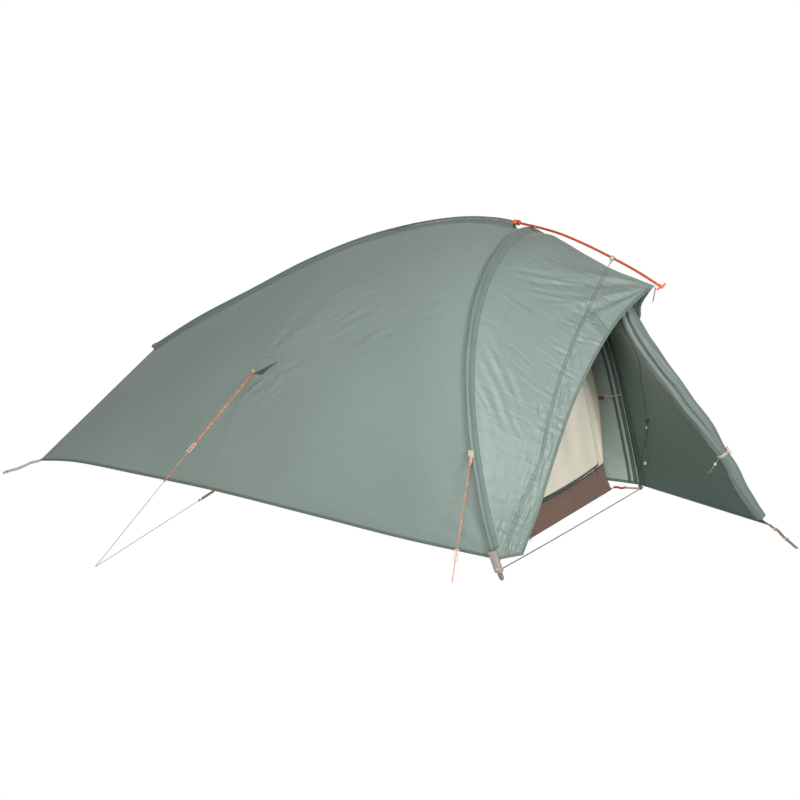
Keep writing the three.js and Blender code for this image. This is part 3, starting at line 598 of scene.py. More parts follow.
FLY = coated_cloth("fly_outside", (121, 135, 128), 0.55)
WING_CLOTH = coated_cloth("wing_cloth", (113, 126, 120), 0.5, crinkle=1.1)
FLY_INSIDE = coated_cloth("fly_inside", (86, 108, 99), 0.6)
# Painted light: a lighter copy of the inside cloth for the far panel's inside, standing in for daylight
# that shines through the cloth.
FLY_INSIDE_PAINTED_LIGHT = coated_cloth("fly_inside_painted_light", (146, 160, 152), 0.6)
SLEEVE_CLOTH = coated_cloth("sleeve_cloth", (100, 114, 107), 0.6, crinkle=0.8)
FELLED_SEAM = taped_seam("felled_seam", (108, 121, 114), 0.010, (0.25, 0.75))
HEM = taped_seam("hem_band", (88, 101, 94), 0.014, (0.8,))
PATCH_CLOTH = taped_seam("patch_cloth", (100, 113, 107), 0.05, (0.06, 0.94))
CREAM = coated_cloth("inner_cloth", (240, 233, 214), 0.8, crinkle=0.35, variation=0.03)
TRIM = webbing_cloth("inner_binding", (196, 164, 112))
TUB = coated_cloth("tub_cloth", (126, 100, 88), 0.6, crinkle=0.9)
TUB_INSIDE = coated_cloth("tub_inside", (120, 96, 84), 0.65, crinkle=0.9)
GREEN_TAPE = webbing_cloth("zip_tape", (38, 58, 46))
GREY_WEBBING = webbing_cloth("grey_webbing", (178, 164, 152))
BROWN_WEBBING = webbing_cloth("brown_webbing", (128, 100, 80))
RED_WEBBING = webbing_cloth("red_webbing", (164, 30, 42))
DARK_WEBBING = webbing_cloth("dark_webbing", (86, 88, 90))
ORANGE_CORD = braided_cord("orange_cord", (206, 108, 60), (222, 150, 110))
PALE_CORD = braided_cord("pale_cord", (150, 148, 144), (116, 116, 114))
GREY_CORD = braided_cord("grey_cord", (50, 52, 54), (110, 110, 112))
ORANGE_TUBE = anodised("orange_anodised", (226, 88, 22), 0.34)
GREY_TUBE = anodised("grey_anodised", (120, 122, 124), 0.36)
ORANGE_PLASTIC = moulded("orange_plastic", (222, 92, 30))
BLACK_RUBBER = moulded("black_rubber", (26, 26, 27), 0.6)
PALE_PLASTIC = moulded("pale_plastic", (196, 182, 172), 0.4)
CLEAR_PLASTIC = moulded("clear_plastic", (212, 216, 218), 0.22, Transmission_Weight=0.55)
BONE_PLASTIC = moulded("bone_plastic", (206, 186, 160), 0.45)
OLIVE_PLASTIC = moulded("olive_plastic", (110, 104, 86), 0.5)
ZIP_METAL = metal("zip_metal", (150, 152, 154))
ELASTIC = braided_cord("elastic", (40, 42, 44), (90, 90, 92))
DARK_PLASTIC = moulded("dark_plastic", (62, 64, 66), 0.45)
# Dark binding; where it lines the hoop inside the porch it also carries painted shade of the sleeve.
DARK_BINDING_AND_PAINTED_SHADE = taped_seam("dark_binding_and_painted_shade", (70, 82, 76), 0.014, (0.15, 0.85))
PINK_PLASTIC = moulded("pink_plastic", (198, 168, 160), 0.45)
# Painted shade: a dark colour laid in the open fold under the side guyline's ring.
SLIT_PAINTED_SHADE = coated_cloth("slit_painted_shade", (62, 72, 67), 0.6)
ROLL_CLOTH = coated_cloth("roll_cloth", (98, 110, 105), 0.55, crinkle=0.9)
POCKET_WEBBING = webbing_cloth("pocket_webbing", (146, 133, 126))
PINK_WEBBING = webbing_cloth("pink_webbing", (168, 140, 133))
CLIP_WEBBING = webbing_cloth("clip_webbing", (74, 70, 66))
TUB_BINDING = webbing_cloth("tub_binding", (70, 62, 56))
PULL_CLOTH = webbing_cloth("pull_cloth", (92, 96, 98))
ZIP_COIL = webbing_cloth("zip_coil", (46, 70, 54))

# ------------------------------------------------------------------ driving lines

FOOT_X, HOOP_LEAN, HOOP_TOP = 1.200, 0.2233, 1.151
HOOP_NEAR = [(.690, .003), (.722, .110), (.735, .270), (.730, .420), (.700, .590),
             (.620, .775), (.470, .950), (.260, 1.082), (.090, 1.140)]
HOOP_FAR = [(.695, .003), (.702, .110), (.694, .270), (.682, .420), (.655, .590),
            (.585, .775), (.452, .950), (.256, 1.082), (.090, 1.140)]
RIDGE_PROFILE = [(-1.083, .582), (-.772, .738), (-.454, .873), (-.100, 1.022), (.250, 1.133),
                 (.602, 1.192), (.800, 1.191), (.943, 1.165), (1.066, 1.135), (1.170, 1.096),
                 (1.273, 1.050), (1.373, 1.001), (1.462, .950)]
FLY_RIDGE = [(-1.085, .565), (-.772, .724), (-.454, .859), (-.100, 1.008), (.250, 1.119),
             (.602, 1.178), (.800, 1.172), (.942, 1.138)]
PORCH_RIDGE = [(.942, 1.138), (1.035, 1.127), (1.070, 1.111), (1.115, 1.088), (1.161, 1.063),
               (1.217, 1.035), (1.274, 1.008), (1.317, .991), (1.363, .976), (1.404, .962),
               (1.446, .948)]
HEM_NEAR = [(-1.115, -.518, .083), (-.605, -.555, .090), (-.166, -.589, .092),
            (.415, -.638, .080), (.800, -.673, .072)]
HEM_FAR = [(-1.115, .518, .083), (-.605, .553, .084), (-.166, .582, .074),
           (.415, .620, .052), (.800, .645, .038)]
HEM_AT_NEAR_HOOP, HEM_AT_FAR_HOOP, SLEEVE_FOOT = .068, .026, .088
FLY_BELOW_POLE, WING_GAP = .013, .005
SLEEVE_END_X = 0.885
REAR_CORNER = array(-1.370, -.500, .055)
WING_CORNER = array(1.246, -.633, .080)
APEX = array(1.842, .268, .050)
CABIN, PORCH_INSIDE = (0, 0, .3), (1.35, 0, .3)
POLE_RADIUS = .0044


def hoop_x(z):
    return FOOT_X - HOOP_LEAN * z


hoop = Line([*[(hoop_x(z), -y, z) for y, z in HOOP_NEAR], (hoop_x(HOOP_TOP), 0, HOOP_TOP),
             *[(hoop_x(z), y, z) for y, z in reversed(HOOP_FAR)]])
ridge = Line([(x, 0, z) for x, z in RIDGE_PROFILE])
HOOP_NORMAL = unit(array(1, 0, HOOP_LEAN))
hoop_top = hoop.where(1, 0)


def hoop_inward(t):
    """The direction in the hoop's own plane from its pole towards the cabin."""
    inward = unit(np.cross(HOOP_NORMAL, hoop.tangent(t)))
    away = array(hoop_x(.5), 0, .5) - hoop.at(t)
    facing = np.sign((inward * away).sum(axis=-1, keepdims=True))
    return inward * np.where(facing == 0, 1, facing)


def hoop_at(side, z):
    """The hoop's fraction where one half of it stands at a height."""
    return hoop.where(2, z, backwards=side == FAR)


def under_hoop(side, hem_z, shift=0.0):
    """The fly's edge under one half of the hoop, v 0 at the ridge and 1 at the hem."""
    hem = hoop_at(side, hem_z)

    def edge(v):
        t = hoop_top + (hem - hoop_top) * np.asarray(v, float)
        p = hoop.at(t) + hoop_inward(t) * FLY_BELOW_POLE
        p[..., 1] = side * np.maximum(side * p[..., 1], 0)
        return p + array(shift, 0, 0)

    return edge


def seam_line(profile, shift=0.0):
    line = Line([(x, 0, z) for x, z in profile])

    def at(u):
        u = np.asarray(u, float)
        return line.at(u) + (shift * (1 - u))[..., None] * array(1, 0, 0)

    return at


fly_top, porch_top = seam_line(FLY_RIDGE), seam_line(PORCH_RIDGE, WING_GAP)
ridge_end, tip = fly_top(array(0))[0], porch_top(array(1))[0]
near_hoop = under_hoop(NEAR, HEM_AT_NEAR_HOOP)
far_hoop = under_hoop(FAR, HEM_AT_FAR_HOOP)
near_hem = Line([REAR_CORNER, *HEM_NEAR, near_hoop(array(1))[0]])
far_hem = Line([mirrored(REAR_CORNER), *HEM_FAR, far_hoop(array(1))[0]])


def crease(v):
    """The near edge of the rear panel, from the ridge's rear end to the ground."""
    return between(ridge_end, REAR_CORNER, v)


near_side = patch(crease, near_hoop, fly_top, near_hem.at, 1.25)
far_side = patch(lambda v: mirrored(crease(v)), far_hoop, fly_top, far_hem.at, 1.25)


def rear_surface(u, v):
    edge = crease(v)
    inner = edge * (1 - u[..., None]) + mirrored(edge) * u[..., None]
    return inner + (.055 * v * np.sin(math.pi * u))[..., None] * array(1, 0, 0)


wing_edge_line = Line([tip, (1.380, -.170, .830), (1.328, -.385, .605), (1.308, -.535, .390),
                       (1.286, -.602, .225), WING_CORNER])
wing_rear = under_hoop(NEAR, HEM_AT_NEAR_HOOP, WING_GAP)
far_wing_rear = under_hoop(FAR, HEM_AT_FAR_HOOP, WING_GAP)
near_wing = patch(wing_rear, wing_edge_line.at, porch_top,
                  lambda u: between(wing_rear(array(1))[0], WING_CORNER, u), 0.9)

roll_line = Line([(1.337, 0, .874), (1.354, .008, .833), (1.411, .020, .736), (1.467, .042, .649),
                  (1.516, .062, .583), (1.564, .088, .509), (1.614, .118, .438),
                  (1.668, .150, .346), (1.705, .176, .283), (1.740, .199, .206),
                  (1.782, .227, .129), (1.812, .248, .082)])
ROLL_RADII = [.027, .033, .036, .036, .035, .034, .031, .021, .025, .024, .020]
ROLL_TOUCH = .041


def roll_radius(t):
    return np.interp(t, np.linspace(0, 1, len(ROLL_RADII)), ROLL_RADII)


def beside_roll(t):
    """Where the far wing lies against the rolled door."""
    return roll_line.at(t) + array(-.84, .54, 0) * ROLL_TOUCH


apex_edge_line = Line([tip, (1.392, .030, .872), (1.389, .037, .835), (1.373, .060, .790),
                       *[beside_roll(t) for t in (.25, .4, .6, .8, .96)], APEX])
far_wing = patch(far_wing_rear, apex_edge_line.at, porch_top,
                 lambda u: between(far_wing_rear(array(1))[0], APEX, u), 0.9)

# ------------------------------------------------------------------ folds in the cloth


SIDE_FACING, WING_FACING = (-.2, -.86, .46), (.70, -.58, .42)
FAN_START = .05


def streaks(seed, count, middle, along, spread, size, height, facing=SIDE_FACING):
    """Short tension folds, scattered round middle within spread, each lying along a direction.

    Distances are measured across the cloth, whose outward direction there is facing.
    """
    draw = np.random.RandomState(seed)
    facing = unit(array(*facing))

    def flat(vectors):
        return vectors - (vectors @ facing)[..., None] * facing

    along = unit(flat(array(*along)))
    folds = []
    for _ in range(count):
        centre = array(*middle) + draw.uniform(-1, 1, 3) * array(*spread)
        tilt = unit(flat(along + draw.uniform(-.12, .12, 3)))
        scale = draw.uniform(.5, 1.2)
        folds.append((centre, tilt, size[0] * scale, size[1] * draw.uniform(.7, 1.3),
                      height * draw.uniform(-1, 1)))

    def fold(p, u, v):
        total = np.zeros(u.shape)
        for centre, tilt, length, width, tall in folds:
            away = flat(p - centre)
            down = away @ tilt
            off = np.linalg.norm(away - down[..., None] * tilt, axis=-1)
            shape = np.exp(-(off / width) ** 2) - .5 * np.exp(-(off / width / 1.8) ** 2)
            total += tall * np.exp(-(down / length) ** 2) * shape
        calm = smooth(v, .0, .02) * smooth(1 - v, .0, .02) * smooth(u, 0, .02) * smooth(1 - u, 0, .02)
        return total * calm

    return fold


def fan(anchor, toward, half_angle, count, reach, height, seed):
    """Folds that run out from an anchor like the ribs of a fan, towards a direction."""
    anchor, toward = array(*anchor), unit(array(*toward))
    draw = np.random.RandomState(seed)
    phases = draw.uniform(0, 2 * math.pi, 4)

    def fold(p, u, v):
        away = p - anchor
        distance = np.linalg.norm(away, axis=-1)
        level = unit(np.cross(toward, array(0, 1, 0)))
        angle = np.arctan2(away @ level, away @ toward)
        wave = np.sin(angle * count + phases[0]) + .5 * np.sin(angle * count * 1.6 + phases[1])
        lit = np.exp(-(angle / half_angle) ** 2)
        grow = smooth(distance, FAN_START, FAN_START * 3) * np.exp(-(distance / reach) ** 2)
        return height * wave * lit * grow

    return fold


def slack(scale, height, seed):
    """A slow uneven wave over the whole cloth, none at its edges."""
    draw = np.random.RandomState(seed)
    waves = [(draw.normal(size=3) * scale, draw.uniform(0, 6.28)) for _ in range(5)]

    def fold(p, u, v):
        total = sum(np.sin(p @ k + phase) for k, phase in waves)
        edge = smooth(u, 0, .12) * smooth(1 - u, 0, .12) * smooth(v, 0, .1) * smooth(1 - v, 0, .08)
        return height * total * edge

    return fold


SIDE_RING = array(-.060, -.4335, .583)

main_folds = [
    slack(6.0, .0012, 3),
    fan(SIDE_RING, (.80, .05, .42), .6, 12, .5, .0032, seed=4),
    streaks(11, 34, SIDE_RING + array(.42, .10, .19), (.85, .1, .42), (.34, .1, .15), (.070, .010), .0085),
    streaks(12, 30, SIDE_RING + array(.14, .0, -.05), (.72, .0, .55), (.13, .05, .09), (.050, .009), .0080),
    streaks(14, 16, (.62, -.42, .92), (.85, .1, .30), (.22, .1, .12), (.070, .011), .0065),
    streaks(13, 18, (-.45, -.14, .80), (.82, 0, .42), (.30, .06, .05), (.09, .012), .0055),
    fan(near_hoop(array(1))[0], (-.6, 0, .7), .5, 11, .3, .0026, seed=6),
    fan(REAR_CORNER, (.8, 0, .45), .5, 12, .35, .0028, seed=7),
]
near_cloth = Cloth(near_side, CABIN, main_folds)
far_cloth = Cloth(far_side, CABIN, [lambda p, u, v, f=f: f(mirrored(p), u, v) for f in main_folds])
rear_cloth = Cloth(rear_surface, CABIN, [slack(5.0, .002, 5)])

# The near wing's stitched seam: where it runs across the wing, from the ridge to the hem.
SEAM_ACROSS = [(0, .655), (.13, .735), (.22, .777), (.40, .80), (.62, .822), (.72, .83), (.80, .77),
               (.875, .60), (.935, .47), (1, .33)]


def wing_seam(v):
    return np.interp(v, *np.array(SEAM_ACROSS).T)


def crumple(p, u, v):
    """Cross wrinkles in the flap between the wing's seam and its free edge."""
    inside_flap = smooth(u - wing_seam(v), .02, .12) * smooth(1 - u, .0, .10) * smooth(v, .22, .36)
    wave = np.sin(150 * p[..., 2] + 60 * p[..., 0] + 3 * np.sin(31 * p[..., 2]))
    return .0010 * wave * inside_flap * (.6 + .4 * np.sin(23 * p[..., 2]))


def gathers():
    """Short uneven wrinkles on both sides of the wing's seam."""
    folds = []
    for count, v in enumerate(np.linspace(.14, .94, 12)):
        middle = near_wing(array(wing_seam(v)), array(v))[0] + array(.02, 0, 0)
        folds.append(streaks(40 + count, 11, middle, (.5, -.15, .75), (.04, .05, .05), (.026, .0070), .0075,
                             WING_FACING))
        folds.append(streaks(60 + count, 4, middle, (.9, -.25, .1), (.04, .05, .05), (.030, .0070), .0070,
                             WING_FACING))
    return folds


wing_folds = [
    slack(7.0, .0012, 8),
    fan(tip, (-1.0, -.35, -.12), .42, 18, .34, .0075, seed=9),
    streaks(21, 22, (1.17, -.22, .92), (1, .20, .16), (.13, .10, .06), (.09, .010), .0055, WING_FACING),
    streaks(22, 14, (1.13, -.62, .62), (.0, -.3, 1), (.03, .08, .15), (.07, .012), .0045, WING_FACING),
    streaks(23, 12, (1.33, -.05, .97), (1, .15, .02), (.08, .05, .02), (.07, .009), .0040, WING_FACING),
    *gathers(),
    crumple,
]
wing_cloth = Cloth(near_wing, PORCH_INSIDE, wing_folds)
far_wing_cloth = Cloth(far_wing, PORCH_INSIDE, [slack(5.0, .0015, 10)])

# ------------------------------------------------------------------ small solid shapes


def brick(name, place, axes, size, material, body, stands_for=(), bevel=.0008):
    """A block with rounded edges, its three sizes set along three axes."""
    mesh = bpy.data.meshes.new(name)
    work = bmesh.new()
    bmesh.ops.create_cube(work, size=1)
    for v in work.verts:
        v.co = Vector([c * s for c, s in zip(v.co, size)])
    bmesh.ops.bevel(work, geom=work.edges[:], offset=bevel, segments=3, affect="EDGES")
    block_axes = [unit(array(*a)) for a in axes]
    for v in work.verts:
        v.co = Vector(sum(a * c for a, c in zip(block_axes, v.co)) + array(*place))
    bmesh.ops.recalc_face_normals(work, faces=work.faces[:])
    work.to_mesh(mesh)
    work.free()
    mesh.materials.append(material)
    piece = bpy.data.objects.new(name, mesh)
    scene.collection.objects.link(piece)
    return placed(piece, body, stands_for)


def turned(name, place, axis, profile, material, sides=40, body=TENT, stands_for=()):
    """A closed profile of (radius, way along) points turned round an axis through place."""
    axis = unit(array(*axis))
    side = unit(np.cross(axis, array(0, 1, .01)))
    high = np.cross(axis, side)
    angle = np.linspace(0, 2 * math.pi, sides, endpoint=False)
    grid = np.array([[array(*place) + axis * z + (side * math.cos(a) + high * math.sin(a)) * r
                      for a in angle] for r, z in profile])
    index = np.arange(len(profile) * sides).reshape(-1, sides)
    after_row, after_side = np.roll(index, -1, axis=0), np.roll(index, -1, axis=1)
    both = np.roll(after_row, -1, axis=1)
    faces = np.stack([index, after_side, both, after_row], axis=-1).reshape(-1, 4)
    piece = mesh_piece(name, grid.reshape(-1, 3), faces, [material])
    return placed(piece, body, stands_for)


def hollow_ring(inner, outer, length):
    """The profile of a ring with softened corners."""
    r, h = .0008, length / 2
    return [(inner, -h + r), (inner + r, -h), (outer - r, -h), (outer, -h + r),
            (outer, h - r), (outer - r, h), (inner + r, h), (inner, h - r)]


def slider(name, place, out, up, across, slider_body, pull_body, stands_for):
    """A zip slider: a plate, its bridge, and a pull that hangs from the bridge."""
    brick(f"{name}_plate", place, (out, across, up), (.005, .016, .007), ZIP_METAL,
          slider_body, stands_for[:1], .0012)
    place, out, up = array(*place), array(*out), array(*up)
    arc = [place + out * (.0025 + .0034 * math.sin(a)) + up * .0028 * math.cos(a)
           for a in np.linspace(0, math.pi, 9)]
    round_tube(f"{name}_bridge", Line(arc), .0009, ZIP_METAL, 10, 30, body=slider_body)
    eye = place + out * .0079
    loop = [eye + array(0, 0, -.003) + (out * math.cos(a) + array(0, 0, 1) * math.sin(a)) * .0034
            for a in np.linspace(0, 2 * math.pi, 13)]
    round_tube(f"{name}_ring", Line(loop), .0007, ZIP_METAL, 8, 40, body=pull_body)
    ribbon(f"{name}_pull", [eye + array(0, 0, z) for z in (-.0050, -.014, -.023, -.031)],
           .006, .0018, across, PULL_CLOTH, 16, pull_body, stands_for[1:])


def open_frame(name, place, along, across, size, bar, material, body, stands_for=()):
    """A small open rectangular buckle with a middle bar, bent from one round rod."""
    along, across = unit(along) * size[0] / 2, unit(across) * size[1] / 2
    corners = [(-1, -1), (-.3, -1), (.4, -1), (1, -1), (1, 1), (.4, 1), (-.3, 1), (-1, 1)]
    outline = closed([place + along * a + across * b for a, b in corners])
    middle = Line([place - across, place, place + across])
    outer, cross = (swept(piece_name, line, lambda f, ring=circle(radius, 10): ring,
                          np.linspace(0, 1, steps), UPRIGHT, material)
                    for piece_name, line, radius, steps in
                    ((name, outline, bar, 120), (name + "_bar", middle, bar * .9, 8)))
    cross.parent = outer
    return placed(outer, body, stands_for)


def bent_link(name, middle, along, reach, rises, bar, material, steps):
    """A small bent link that lies round a strap."""
    corners = zip((-reach, 0, reach, 0), (rises[0], rises[1], rises[0], rises[2]))
    outline = closed([middle + along * a + array(0, 0, b) for a, b in corners])
    round_tube(name, outline, bar, material, 8, steps)


# ------------------------------------------------------------------ cords

GUY_DIAMETER, TETHER_DIAMETER, FOOT_CORD_DIAMETER = .0030, .0024, .0040
PANEL_LINE_DIAMETER, ROLL_TIE_DIAMETER = .0022, .0020
STRAP_THICKNESS, WEBBING_THICKNESS, TAPE_THICKNESS = .0022, .0018, .0016
LEVEL, SIDEWAYS, UPRIGHT = array(1, 0, 0), (0, 1, 0), (0, 0, 1)
SIDE_STAKE_X, SIDE_STAKE_Y, HOOP_TAB_Z = -.046, 1.316, .425
PANEL_TIE, TOGGLE_DROP = array(1.2655, .5372, .3535), .190
TIE_ON_ROLL = .695


def cord(name, route, diameter, material, stands_for=(), body=TENT):
    """A cord through the points of its route."""
    line = Line(route)
    piece = round_tube(name, line, diameter / 2, material, 10, 160, (0, 1), body, stands_for)
    tuple(route[0])
    [tuple(p) for p in line.at(line.stops(26))]


def side_place(surface, x, z):
    """The point of one side of the fly at a given x and height."""
    u, v = np.meshgrid(np.linspace(0, 1, 240), np.linspace(0, 1, 240))
    p = surface(u, v)
    miss = (p[..., 0] - x) ** 2 + (p[..., 2] - z) ** 2
    return p.reshape(-1, 3)[miss.argmin()]


def knot(name, place, radius, material, body=TENT):
    """A small overhand knot: a lumpy turn of cord round its own axis."""
    turn = [place + radius * array(math.sin(2 * a) * .8, math.cos(3 * a) * .6, math.sin(3 * a + 1))
            for a in np.linspace(0, 2 * math.pi, 40, endpoint=False)]
    round_tube(name, closed(turn), radius * .55, material, 8, 120, body=body)


def guy_anchor(name, cloth, ring, way):
    """The side guyline's anchor: a sewn patch with an open fold, its opening a dark strip of painted shade,
    and a ring.
    """
    def slit_depth(t):
        return .004 + .020 * np.clip(np.minimum(t / .35, (1 - t) / .65), 0, 1)

    def slit_path(t):
        return .5285 + .0535 * t, .5615 - .0295 * t + .38 * slit_depth(t)

    def patch_path(t):
        return .530 + .058 * t, .545 - .024 * t

    depths = slit_depth(np.linspace(0, 1, 40))
    surface_strip(f"side_slit_{name}", cloth, slit_path, depths, .0012, .0010, SLIT_PAINTED_SHADE, 40,
                  puff=.002)
    surface_strip(f"side_patch_{name}", cloth, patch_path, .05, .0003, .0005, FLY, 40, 9, .001)
    turn = [ring + way * (.004 + .006 * math.sin(a)) + array(.0085 * math.cos(a), 0, 0)
            for a in np.linspace(0, 2 * math.pi, 12, endpoint=False)]
    round_tube(f"side_ring_{name}", closed(turn), .0018, PALE_PLASTIC, 10, 80)


def side_guy(side, name, surface, cloth, hem):
    """The doubled guyline with its adjuster, and the tether to the ground and back to the hem."""
    ring = side_place(surface, SIDE_RING[0], SIDE_RING[2])
    stake = array(SIDE_STAKE_X, side * SIDE_STAKE_Y, 0)
    way = unit(stake - ring)
    start, end = ring + way * .008, between(ring, stake, .605)
    adjuster = between(ring, stake, .435)
    buckle = open_frame(f"side_adjuster_{name}", adjuster, way, LEVEL, (.046, .015), .0016,
                        PALE_PLASTIC, f"side_adjuster_{name}", [f"side_guy_adjuster_{name}"])
    cord(f"side_guy_{name}", between(start, end, (0, .25, .5, .75, 1)), GUY_DIAMETER, ORANGE_CORD,
         [f"side_guyline_{name}"])
    second = [start + LEVEL * .009, between(start, adjuster, .5) + LEVEL * .0065,
              adjuster - way * .012 + LEVEL * .0045]
    cord(f"side_guy_return_{name}", second, GUY_DIAMETER, ORANGE_CORD)
    knot(f"side_knot_{name}", end, .0032, ORANGE_CORD)

    tie = hem.at(.472)
    strap_end = between(tie, stake, .13)
    route = [*between(end, stake, (.02, .5, .96)), stake + array(0, 0, .0015),
             *between(strap_end, stake, (.94, .5, .02))]
    cord(f"tether_{name}", route, TETHER_DIAMETER, PALE_CORD,
         [f"side_tether_{name}"])
    knot(f"tether_knot_{name}", between(strap_end, stake, .015), .0036, ORANGE_CORD)
    ribbon(f"hem_loop_{name}", between(tie, stake, (-.004, .03, .07, .10, .122)), .014, STRAP_THICKNESS,
           (.25, 0, 1), BROWN_WEBBING, stands_for=[f"hem_strap_{name}"])
    guy_anchor(name, cloth, ring, way)


def hoop_guy(side, name):
    """The guyline from the hoop to the ground, its adjuster and the tab it hangs from."""
    on_hoop = hoop.at(hoop_at(side, HOOP_TAB_Z))
    tab, peg = on_hoop + array(.002, side * .015, -.008), array(1.071, side * .800, .002)
    way = unit(peg - tab)
    buckle = open_frame(f"hoop_adjuster_{name}", between(tab, peg, .78), way, LEVEL, (.036, .014),
                        .0016, PALE_PLASTIC, f"hoop_adjuster_{name}",
                        [f"hoop_guy_adjuster_{name}"])
    cord(f"hoop_guy_{name}", between(tab, peg, (0, .3, .6, 1)), GUY_DIAMETER, ORANGE_CORD,
         [f"hoop_guyline_{name}"])
    knot(f"hoop_guy_knot_{name}", tab + way * .022, .004, ORANGE_CORD)
    square = [on_hoop + array(-.002, side * .0085, z) for z in (.012, .004, -.004, -.010)]
    ribbon(f"hoop_tab_{name}", square, .021, TAPE_THICKNESS, LEVEL, GREY_WEBBING, 8)
    tail = [on_hoop + array(0, side * .0095, -.002), tab + way * .004, tab + way * .020]
    ribbon(f"hoop_tab_tail_{name}", tail, .009, TAPE_THICKNESS, LEVEL, GREY_WEBBING, 10)


def ground_webbing(name, corner, peg, stops, sags, across, material, stands_for):
    """A strap from a corner of the fly to the ground; sags are small rises, by stop."""
    webbing = between(corner, peg, stops)
    for stop, rise in sags:
        webbing[stop, 2] += rise
    ribbon(name, webbing, .014, STRAP_THICKNESS, across, material, 40, stands_for=[stands_for])


def rear_strap(side, name, hem):
    corner, peg = hem.at(0), array(-1.466, side * .640, .008)
    ground_webbing(f"rear_webbing_{name}", corner, peg, (-.02, .10, .22, .40, .62, .80, 1),
                   ((2, .004), (4, -.003)), (-.5, -side * .35, .7), GREY_WEBBING,
                   f"rear_strap_{name}")
    for count, t in enumerate((.22, .55, .88)):
        bent_link(f"rear_buckle_{name}_{count}", between(corner, peg, t), array(.6, side * .8, 0),
                  .010, (.0015, .0055, -.0035), .0014, DARK_PLASTIC if count == 2 else PALE_PLASTIC,
                  40)


def apex_strap():
    peg = array(1.958, .180, .003)
    ground_webbing("apex_webbing", APEX, peg, (-.03, .12, .28, .5, .75, 1), ((2, .005),),
                   (.6, .8, 0), BROWN_WEBBING, "apex_strap")
    for count, t in enumerate((.20, .62)):
        bent_link(f"apex_ring_{count}", between(APEX, peg, t), array(.6, .8, 0), .011,
                  (.001, .007, -.004), .0018, PALE_PLASTIC, 50)


def panel_toggle():
    """A knotted cord that hangs inside the far wing, and its line to the hoop's foot."""
    low, toggle = PANEL_TIE - array(0, 0, TOGGLE_DROP), "hanging_toggle"
    profile = [(.0016, -.007), (.0050, -.006), (.0062, -.002), (.0062, .003), (.0046, .007),
               (.0016, .008)]
    bead = turned("toggle_bead", low, UPRIGHT, profile, PINK_PLASTIC, 28, toggle)
    route = [PANEL_TIE, between(PANEL_TIE, low, .3) + array(.002, .001, 0),
             between(PANEL_TIE, low, .7) - array(.002, .001, 0), low]
    cord("toggle_cord", route, GUY_DIAMETER, GREY_CORD, ["panel_toggle"],
         toggle)
    knot("toggle_knot", PANEL_TIE - array(0, 0, .006), .0060, GREY_CORD, toggle)
    turned("toggle_stop", PANEL_TIE - array(0, 0, .034), UPRIGHT, hollow_ring(.0016, .0048, .008),
           PALE_PLASTIC, 20, toggle)
    top, foot = PANEL_TIE + array(.004, .008, -.004), array(1.187, .676, .050)
    cord("panel_line", between(top, foot, (0, .3, .7, 1)), PANEL_LINE_DIAMETER, GREY_CORD)


def roll_tie_cord():
    face = roll_line.at(TIE_ON_ROLL) - array(-.3, .9, 0) * roll_radius(TIE_ON_ROLL)
    route = [face + array(*step) for step in
             ((0, 0, .004), (-.020, -.006, -.030), (-.045, -.004, -.075))]
    cord("roll_tie_cord", route, ROLL_TIE_DIAMETER, PALE_CORD)
    knot("roll_tie_bead", face + array(-.024, -.007, -.037), .0034, PALE_PLASTIC)


def straps_and_cords():
    foot_cord = [array(hoop_x(z) + .0125, y, z) for y, z in
                 ((-.7, .044), (-.35, .035), (0, .028), (.35, .022), (.7, .016))]
    cord("foot_cord", foot_cord, FOOT_CORD_DIAMETER, GREY_CORD,
         ["foot_to_foot_cord"])
    for side, name in SIDES:
        surface, cloth, hem = ((near_side, near_cloth, near_hem) if side == NEAR
                               else (far_side, far_cloth, far_hem))
        side_guy(side, name, surface, cloth, hem)
        hoop_guy(side, name)
        rear_strap(side, name, hem)
    panel_toggle()
    roll_tie_cord()
    apex_strap()


straps_and_cords()

# ------------------------------------------------------------------ fly

CLOTH = .0007
SLEEVE_CLOTH_THICKNESS = .0006
SEWN_LIFT = .0012
HOOP_SLEEVE_RADIUS, RIDGE_SLEEVE_RADIUS = .0074, .0082
HEM_WIDTH, BAND_THICKNESS = .013, .0007


def panels():
    """Each fly panel: cloth, columns, rows, a point inside, its CAD node, flat size, area, faces."""
    side_faces, wing_faces = (FLY, FLY_INSIDE), (WING_CLOTH, FLY_INSIDE)
    for name, cloth, columns, rows, inside, node, flat, area, faces in (
            ("fly_near", near_cloth, 300, 130, CABIN, "fly_near_side", (1.36, 2.62), 2.45, side_faces),
            # The far panel's inside face takes the painted light of daylight through the cloth.
            ("fly_far", far_cloth, 300, 130, CABIN, "fly_far_side", (1.36, 2.62), 2.45, (FLY, FLY_INSIDE_PAINTED_LIGHT)),
            ("fly_rear", rear_cloth, 80, 60, CABIN, "fly_rear_panel", (1.0, .62), .31, side_faces),
            ("near_wing", wing_cloth, 200, 320, PORCH_INSIDE, "porch_near_wing", (.55, 1.30), .40,
             wing_faces),
            ("far_wing", far_wing_cloth, 150, 170, PORCH_INSIDE, "porch_far_wing", (.95, 1.40), .72,
             side_faces)):
        piece = cloth_mesh(name, over(cloth, columns, rows), CLOTH, faces, inside)
        placed(piece, stands_for=[node])


